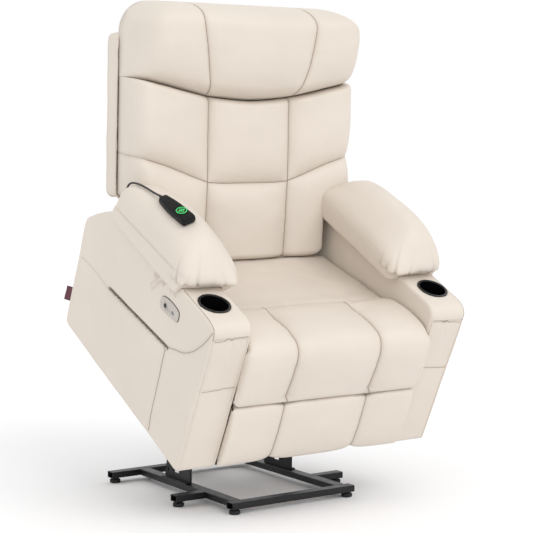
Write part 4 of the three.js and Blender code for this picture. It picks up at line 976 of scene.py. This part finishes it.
CUP = [(39, -72), (41.6, -71.6), (43, -69), (43, -0.4), (46.6, 0.1), (47.5, 0.8), (47.5, 1.9), (46.9, 2.7),
       (45.8, 3), (44.4, 2.9), (43.4, 2.3), (42.7, 1.9), (41.6, 2.1), (40.8, 2.2), (40.2, 1.7), (40, 0.8),
       (40, -64), (38.6, -67.6), (35, -69), (12, -69), (3, -68.6)]
for label, side in SIDES:
    middle = np.array([side * 383, 120, 484.3])
    cup = lathe(f"cup_{label}", CUP, 96, GLOSS, lambda p: chair(p + middle))
    dress(cup, "chair", "plastic_gloss", f"cup_holder_{label}")

# ---------- hand control

HAND_TURN, HAND_ROLL, HAND_PITCH = radians(6.5), radians(-18.2), radians(-2.5)
HAND_MATRIX = np.array(Matrix.Rotation(HAND_TURN, 3, "Z") @ Matrix.Rotation(HAND_ROLL, 3, "Y")
                       @ Matrix.Rotation(HAND_PITCH, 3, "X"))
BUTTON_Y, BUTTON_TOP = -26, 25  # middle and upper side of the ring button


def hand(p):
    """Hand control coordinates in mm (x across, y rearward, z up through it) to metres in the frame."""
    return chair(np.asarray(p, float) @ HAND_MATRIX.T + np.array([-405, 375, 624.6]))


def hand_control():
    """Shell with a well for the ring button, the line where it splits and the cable's strain relief."""
    right = curve_through([(0, -67), (14, -66.5), (20, -64), (22.4, -58), (22.8, -40), (22.6, -10), (21.8, 12),
                           (19.8, 34), (17.2, 52), (15.2, 66), (13.4, 72.6), (7.5, 76), (0, 76.2)], 3)
    line = np.vstack([right, (right[::-1] * np.array([-1, 1]))[1:-1]])
    count = len(line)
    rings = []
    for z, inset in ((0, 4.2), (0.6, 2.2), (2, 0.8), (4, 0.15), (6, 0), (9, 0), (12, 0.1), (15, 0.5),
                     (18, 1.4), (20.4, 2.9), (21.8, 4.6)):
        rings.append(np.column_stack([offset_inward(line, inset)[0], np.full(count, z)]))
    middle = np.array([0, BUTTON_Y])
    off = rings[-1][:, :2] - middle
    well = 17.1 * off / np.linalg.norm(off, axis=1)[:, None]
    for z, share in ((22.6, 0.25), (22.9, 0.6), (22.9, 0.96), (22.6, 1), (20, 1)):
        rings.append(np.column_stack([middle + off + share * (well - off), np.full(count, z)]))
    dress(loft("hand_control_shell", hand(rings), HANDSET), "chair", "handset_black", "handset_body")
    split = [(x, y, 11) for x, y in offset_inward(line, -0.1)[0]]
    tube("hand_control_split", hand(split + split[:1]), 0.0005, PLASTIC, "chair", "handset_black")
    cone = [(1, 0), (5.4, 0.2), (5.6, 3), (5.0, 9), (4.2, 16), (3.4, 20), (3.05, 20.5)]
    relief = lathe("hand_control_strain_relief", cone, 32, PLASTIC,
                   lambda p: hand(np.stack([p[..., 0], 73 + p[..., 2], 11.5 + p[..., 1]], -1)))
    dress(relief, "chair", "handset_black")


def ring_button():
    """Button with a lit ring, a bar and two arrows."""
    def place(p):
        return hand(np.asarray(p) + np.array([0, BUTTON_Y, 0]))

    disc = [(2, 21.8), (15.4, 21.8), (16.4, 22.2), (16.5, 23.8), (16.1, 24.5), (15, 24.9), (8, BUTTON_TOP),
            (1, BUTTON_TOP)]
    dress(lathe("ring_button_disc", disc, 64, PLASTIC, place), "handset_button", "handset_black",
          "handset_button")

    def glow(name, points, radius, sides=4):
        tube(name, place(points), radius, GREEN, "handset_button", "ring_green", sides)

    circle = [(14.8 * cos(a), 14.8 * sin(a), 24.9) for a in np.linspace(0, 2 * pi, 65)]
    glow("ring_button_glow", circle, 0.001)
    glow("ring_button_bar", [(-9.5, 0, BUTTON_TOP), (9.5, 0, BUTTON_TOP)], 0.0015)
    for k, way in enumerate((1, -1)):
        arrow = [(-4.5, 4.4 * way, BUTTON_TOP), (0, 9.6 * way, BUTTON_TOP), (4.5, 4.4 * way, BUTTON_TOP)]
        glow(f"ring_button_arrow_{k + 1}", arrow, 0.0007, 3)


hand_control()
ring_button()

# ---------- charging panel

PANEL_X = -444.0  # the panel's face
BUTTON, PORT = np.array([258, 396]), np.array([213.5, 398])  # their middles, as (y, z)
PANEL_SLOPE = atan2(16, 119)
ALONG = np.array([cos(PANEL_SLOPE), sin(PANEL_SLOPE)])
ACROSS = np.array([-ALONG[1], ALONG[0]])
PANEL_OUTLINE = curve_through([
    (181, 404), (181.5, 392), (188, 384), (214, 379), (250, 374.5), (276, 373), (288, 379), (291.5, 392),
    (288, 406), (276, 415.5), (252, 421.5), (222, 423.5), (196, 421), (184.5, 415), (181, 404)], 2.2)[:-1]


def bore(obj, cutter):
    """Cuts one solid out of another."""
    cut = obj.modifiers.new("bore", "BOOLEAN")
    cut.operation = "DIFFERENCE"
    cut.solver = "EXACT"
    cut.object = cutter
    apply_modifiers(obj)


def plate(name, levels, material, slot, *replaced, shift=(0, 0)):
    """The panel's outline at levels of (x, inset)."""
    rings = [np.column_stack([np.full(len(PANEL_OUTLINE), x), offset_inward(PANEL_OUTLINE, inset)[0] + shift])
             for x, inset in levels]
    dress(loft(name, chair(rings), material), "chair", slot, *replaced)


def socket(name, levels, material, slot):
    """Rounded slots around the port at levels of (half length, half width, radius, x)."""
    rings = []
    for half_length, half_width, radius, x in levels:
        ring = []
        for cx, cy, start in ((1, 1, 0), (-1, 1, 90), (-1, -1, 180), (1, -1, 270)):
            for a in np.radians(np.linspace(start, start + 90, 6)):
                off = ((cx * (half_length - radius) + radius * cos(a)) * ALONG
                       + (cy * (half_width - radius) + radius * sin(a)) * ACROSS)
                ring.append((x, *(PORT + off)))
        rings.append(ring)
    dress(loft(name, chair(rings), material), "chair", slot)


def charging_panel():
    """Bezel and face with a socket in a dark well, and a power button that moves in a bored hole."""
    bezel = [(-440.2, -0.4), (-442.4, -0.2), (-443.2, 0.8), (-443.3, 2), (-442.9, 2.8)]
    plate("charging_panel_bezel", bezel, PLASTIC, "plastic_black", shift=(-0.8, 1.2))
    face = [(-440.2, 0.8), (-443.3, 0.9), (-444, 1.8), (-444.3, 3.8)]
    plate("charging_panel_face", face, GREY, "plastic_grey", "usb_panel")
    socket("socket_rim", [(8.2, 4.8, 1.2, -444.0), (8.2, 4.8, 1.2, -444.7), (7.7, 4.3, 1.0, -444.9),
                          (7.0, 3.6, 0.8, -444.8), (7.0, 3.6, 0.8, -444.3)], ZINC, "steel_zinc")
    socket("socket_well", [(7.0, 3.5, 0.8, -444.2), (7.0, 3.5, 0.8, -444.45)], PLASTIC, "plastic_black")
    socket("socket_tongue", [(5.6, 1.1, 0.3, -444.4), (5.6, 1.1, 0.3, -444.75)], GREY, "plastic_grey")

    def upright(p):
        return chair(np.concatenate([PANEL_X - p[..., 2:], BUTTON + p[..., :2]], -1))

    def sloping(p):
        spot = BUTTON + p[..., :1] * ALONG + p[..., 1:2] * ACROSS
        return chair(np.concatenate([PANEL_X - p[..., 2:], spot], -1))

    cutter = lathe("button_bore", [(1, -3.4), (6.6, -3.4), (6.6, 6), (1, 6)], 48, PLASTIC, upright)
    for pierced in ("charging_panel_bezel", "charging_panel_face", "arm_cover_left"):
        bore(bpy.data.objects[pierced], cutter)
    bpy.data.objects.remove(cutter)
    ring = [(6.6, 0), (7.6, 0.1), (7.9, 0.5), (7.6, 0.9), (6.9, 0.9), (6.6, 0.5)]
    dress(lathe("power_button_collar", ring, 48, ZINC, sloping), "chair", "steel_zinc")
    cap = [(1, -0.4), (6.3, -0.4), (6.3, 2.0), (5.9, 2.6), (5.0, 2.8), (3.2, 2.7), (1, 2.6)]
    dress(lathe("power_button_cap", cap, 48, PLASTIC, sloping), "usb_button", "plastic_black",
          "usb_power_button")


def ribbon_tab():
    """A blank folded ribbon sewn in at the arm's rear edge."""
    ys, zs = np.linspace(0, 1, 12), np.linspace(0, 1, 16)
    verts = []
    for offset in (-1.1, 1.1):  # half the ribbon's thickness
        for y in ys:
            edge = 1 - 0.75 * smooth(y, 0.8, 1)
            for z in zs:
                bend = 1.6 * sin(y * 2.2) + 0.5 * sin(z * 6)
                verts.append((-436 + bend + offset * float(edge), 790 + 39 * y, 126 - 50 * z - 18 * y))
    rows, cols = len(ys), len(zs)
    size = rows * cols
    faces = grid_faces(rows, cols) + grid_faces(rows, cols, size)
    ring = grid_border(rows, cols)
    faces += [(a, b, b + size, a + size) for a, b in zip(ring, ring[1:] + ring[:1])]
    dress(finish_mesh("ribbon_tab", chair(verts), faces, TAB), "chair", "leather_cream")


charging_panel()
ribbon_tab()

# ---------- finishes of the CAD pieces

FINISH = {"leather_cream": LEATHER, "steel_black": STEEL, "steel_zinc": ZINC, "plastic_black": PLASTIC,
          "handset_black": HANDSET, "plastic_gloss": GLOSS, "plastic_grey": GREY, "ring_green": GREEN,
          "rubber_black": RUBBER, "cable_black": CABLE, "plywood": PLYWOOD}
SLOT_OF = {part["node"]: part["material_slot"] for part in frame["record"]["subparts"]}
for name, obj in NODES.items():
    finish = FINISH[SLOT_OF[name]]
    if not obj.material_slots:
        obj.data.materials.append(finish)
    for part in obj.material_slots:
        part.material = finish

# ---------- floor and light


def sun(name, energy, width, direction):
    """Soft light from far away that shines along direction; width is its spread in degrees."""
    light = bpy.data.lights.new(name, "SUN")
    light.energy = energy
    light.angle = radians(width)
    add_object(name, light).rotation_euler = Vector(direction).to_track_quat("-Z", "Y").to_euler()


FLOOR_HALF, FLOOR_Z = 14, -0.0005
floor_mesh = bpy.data.meshes.new("floor")
corners = [(x * FLOOR_HALF, y * FLOOR_HALF, FLOOR_Z) for x, y in ((-1, -1), (1, -1), (1, 1), (-1, 1))]
floor_mesh.from_pydata(corners, [], [(0, 1, 2, 3)])
floor_finish = Finish("pale floor")
floor_finish.set(Base_Color=(0.93, 0.93, 0.935, 1), Roughness=1, Specular_IOR_Level=0)
floor_mesh.materials.append(floor_finish.mat)
add_object("floor", floor_mesh)

world = bpy.data.worlds.new("studio")
world.use_nodes = True
background = world.node_tree.nodes["Background"].inputs
background["Color"].default_value = (1, 1, 1, 1)
background["Strength"].default_value = 1.0
bpy.context.scene.world = world
sun("softbox", 0.74, 38, (-0.12, 0.82, -0.64))
sun("fill", 0.25, 60, (0.62, 0.70, -0.35))
bpy.context.scene.view_settings.view_transform = "Standard"
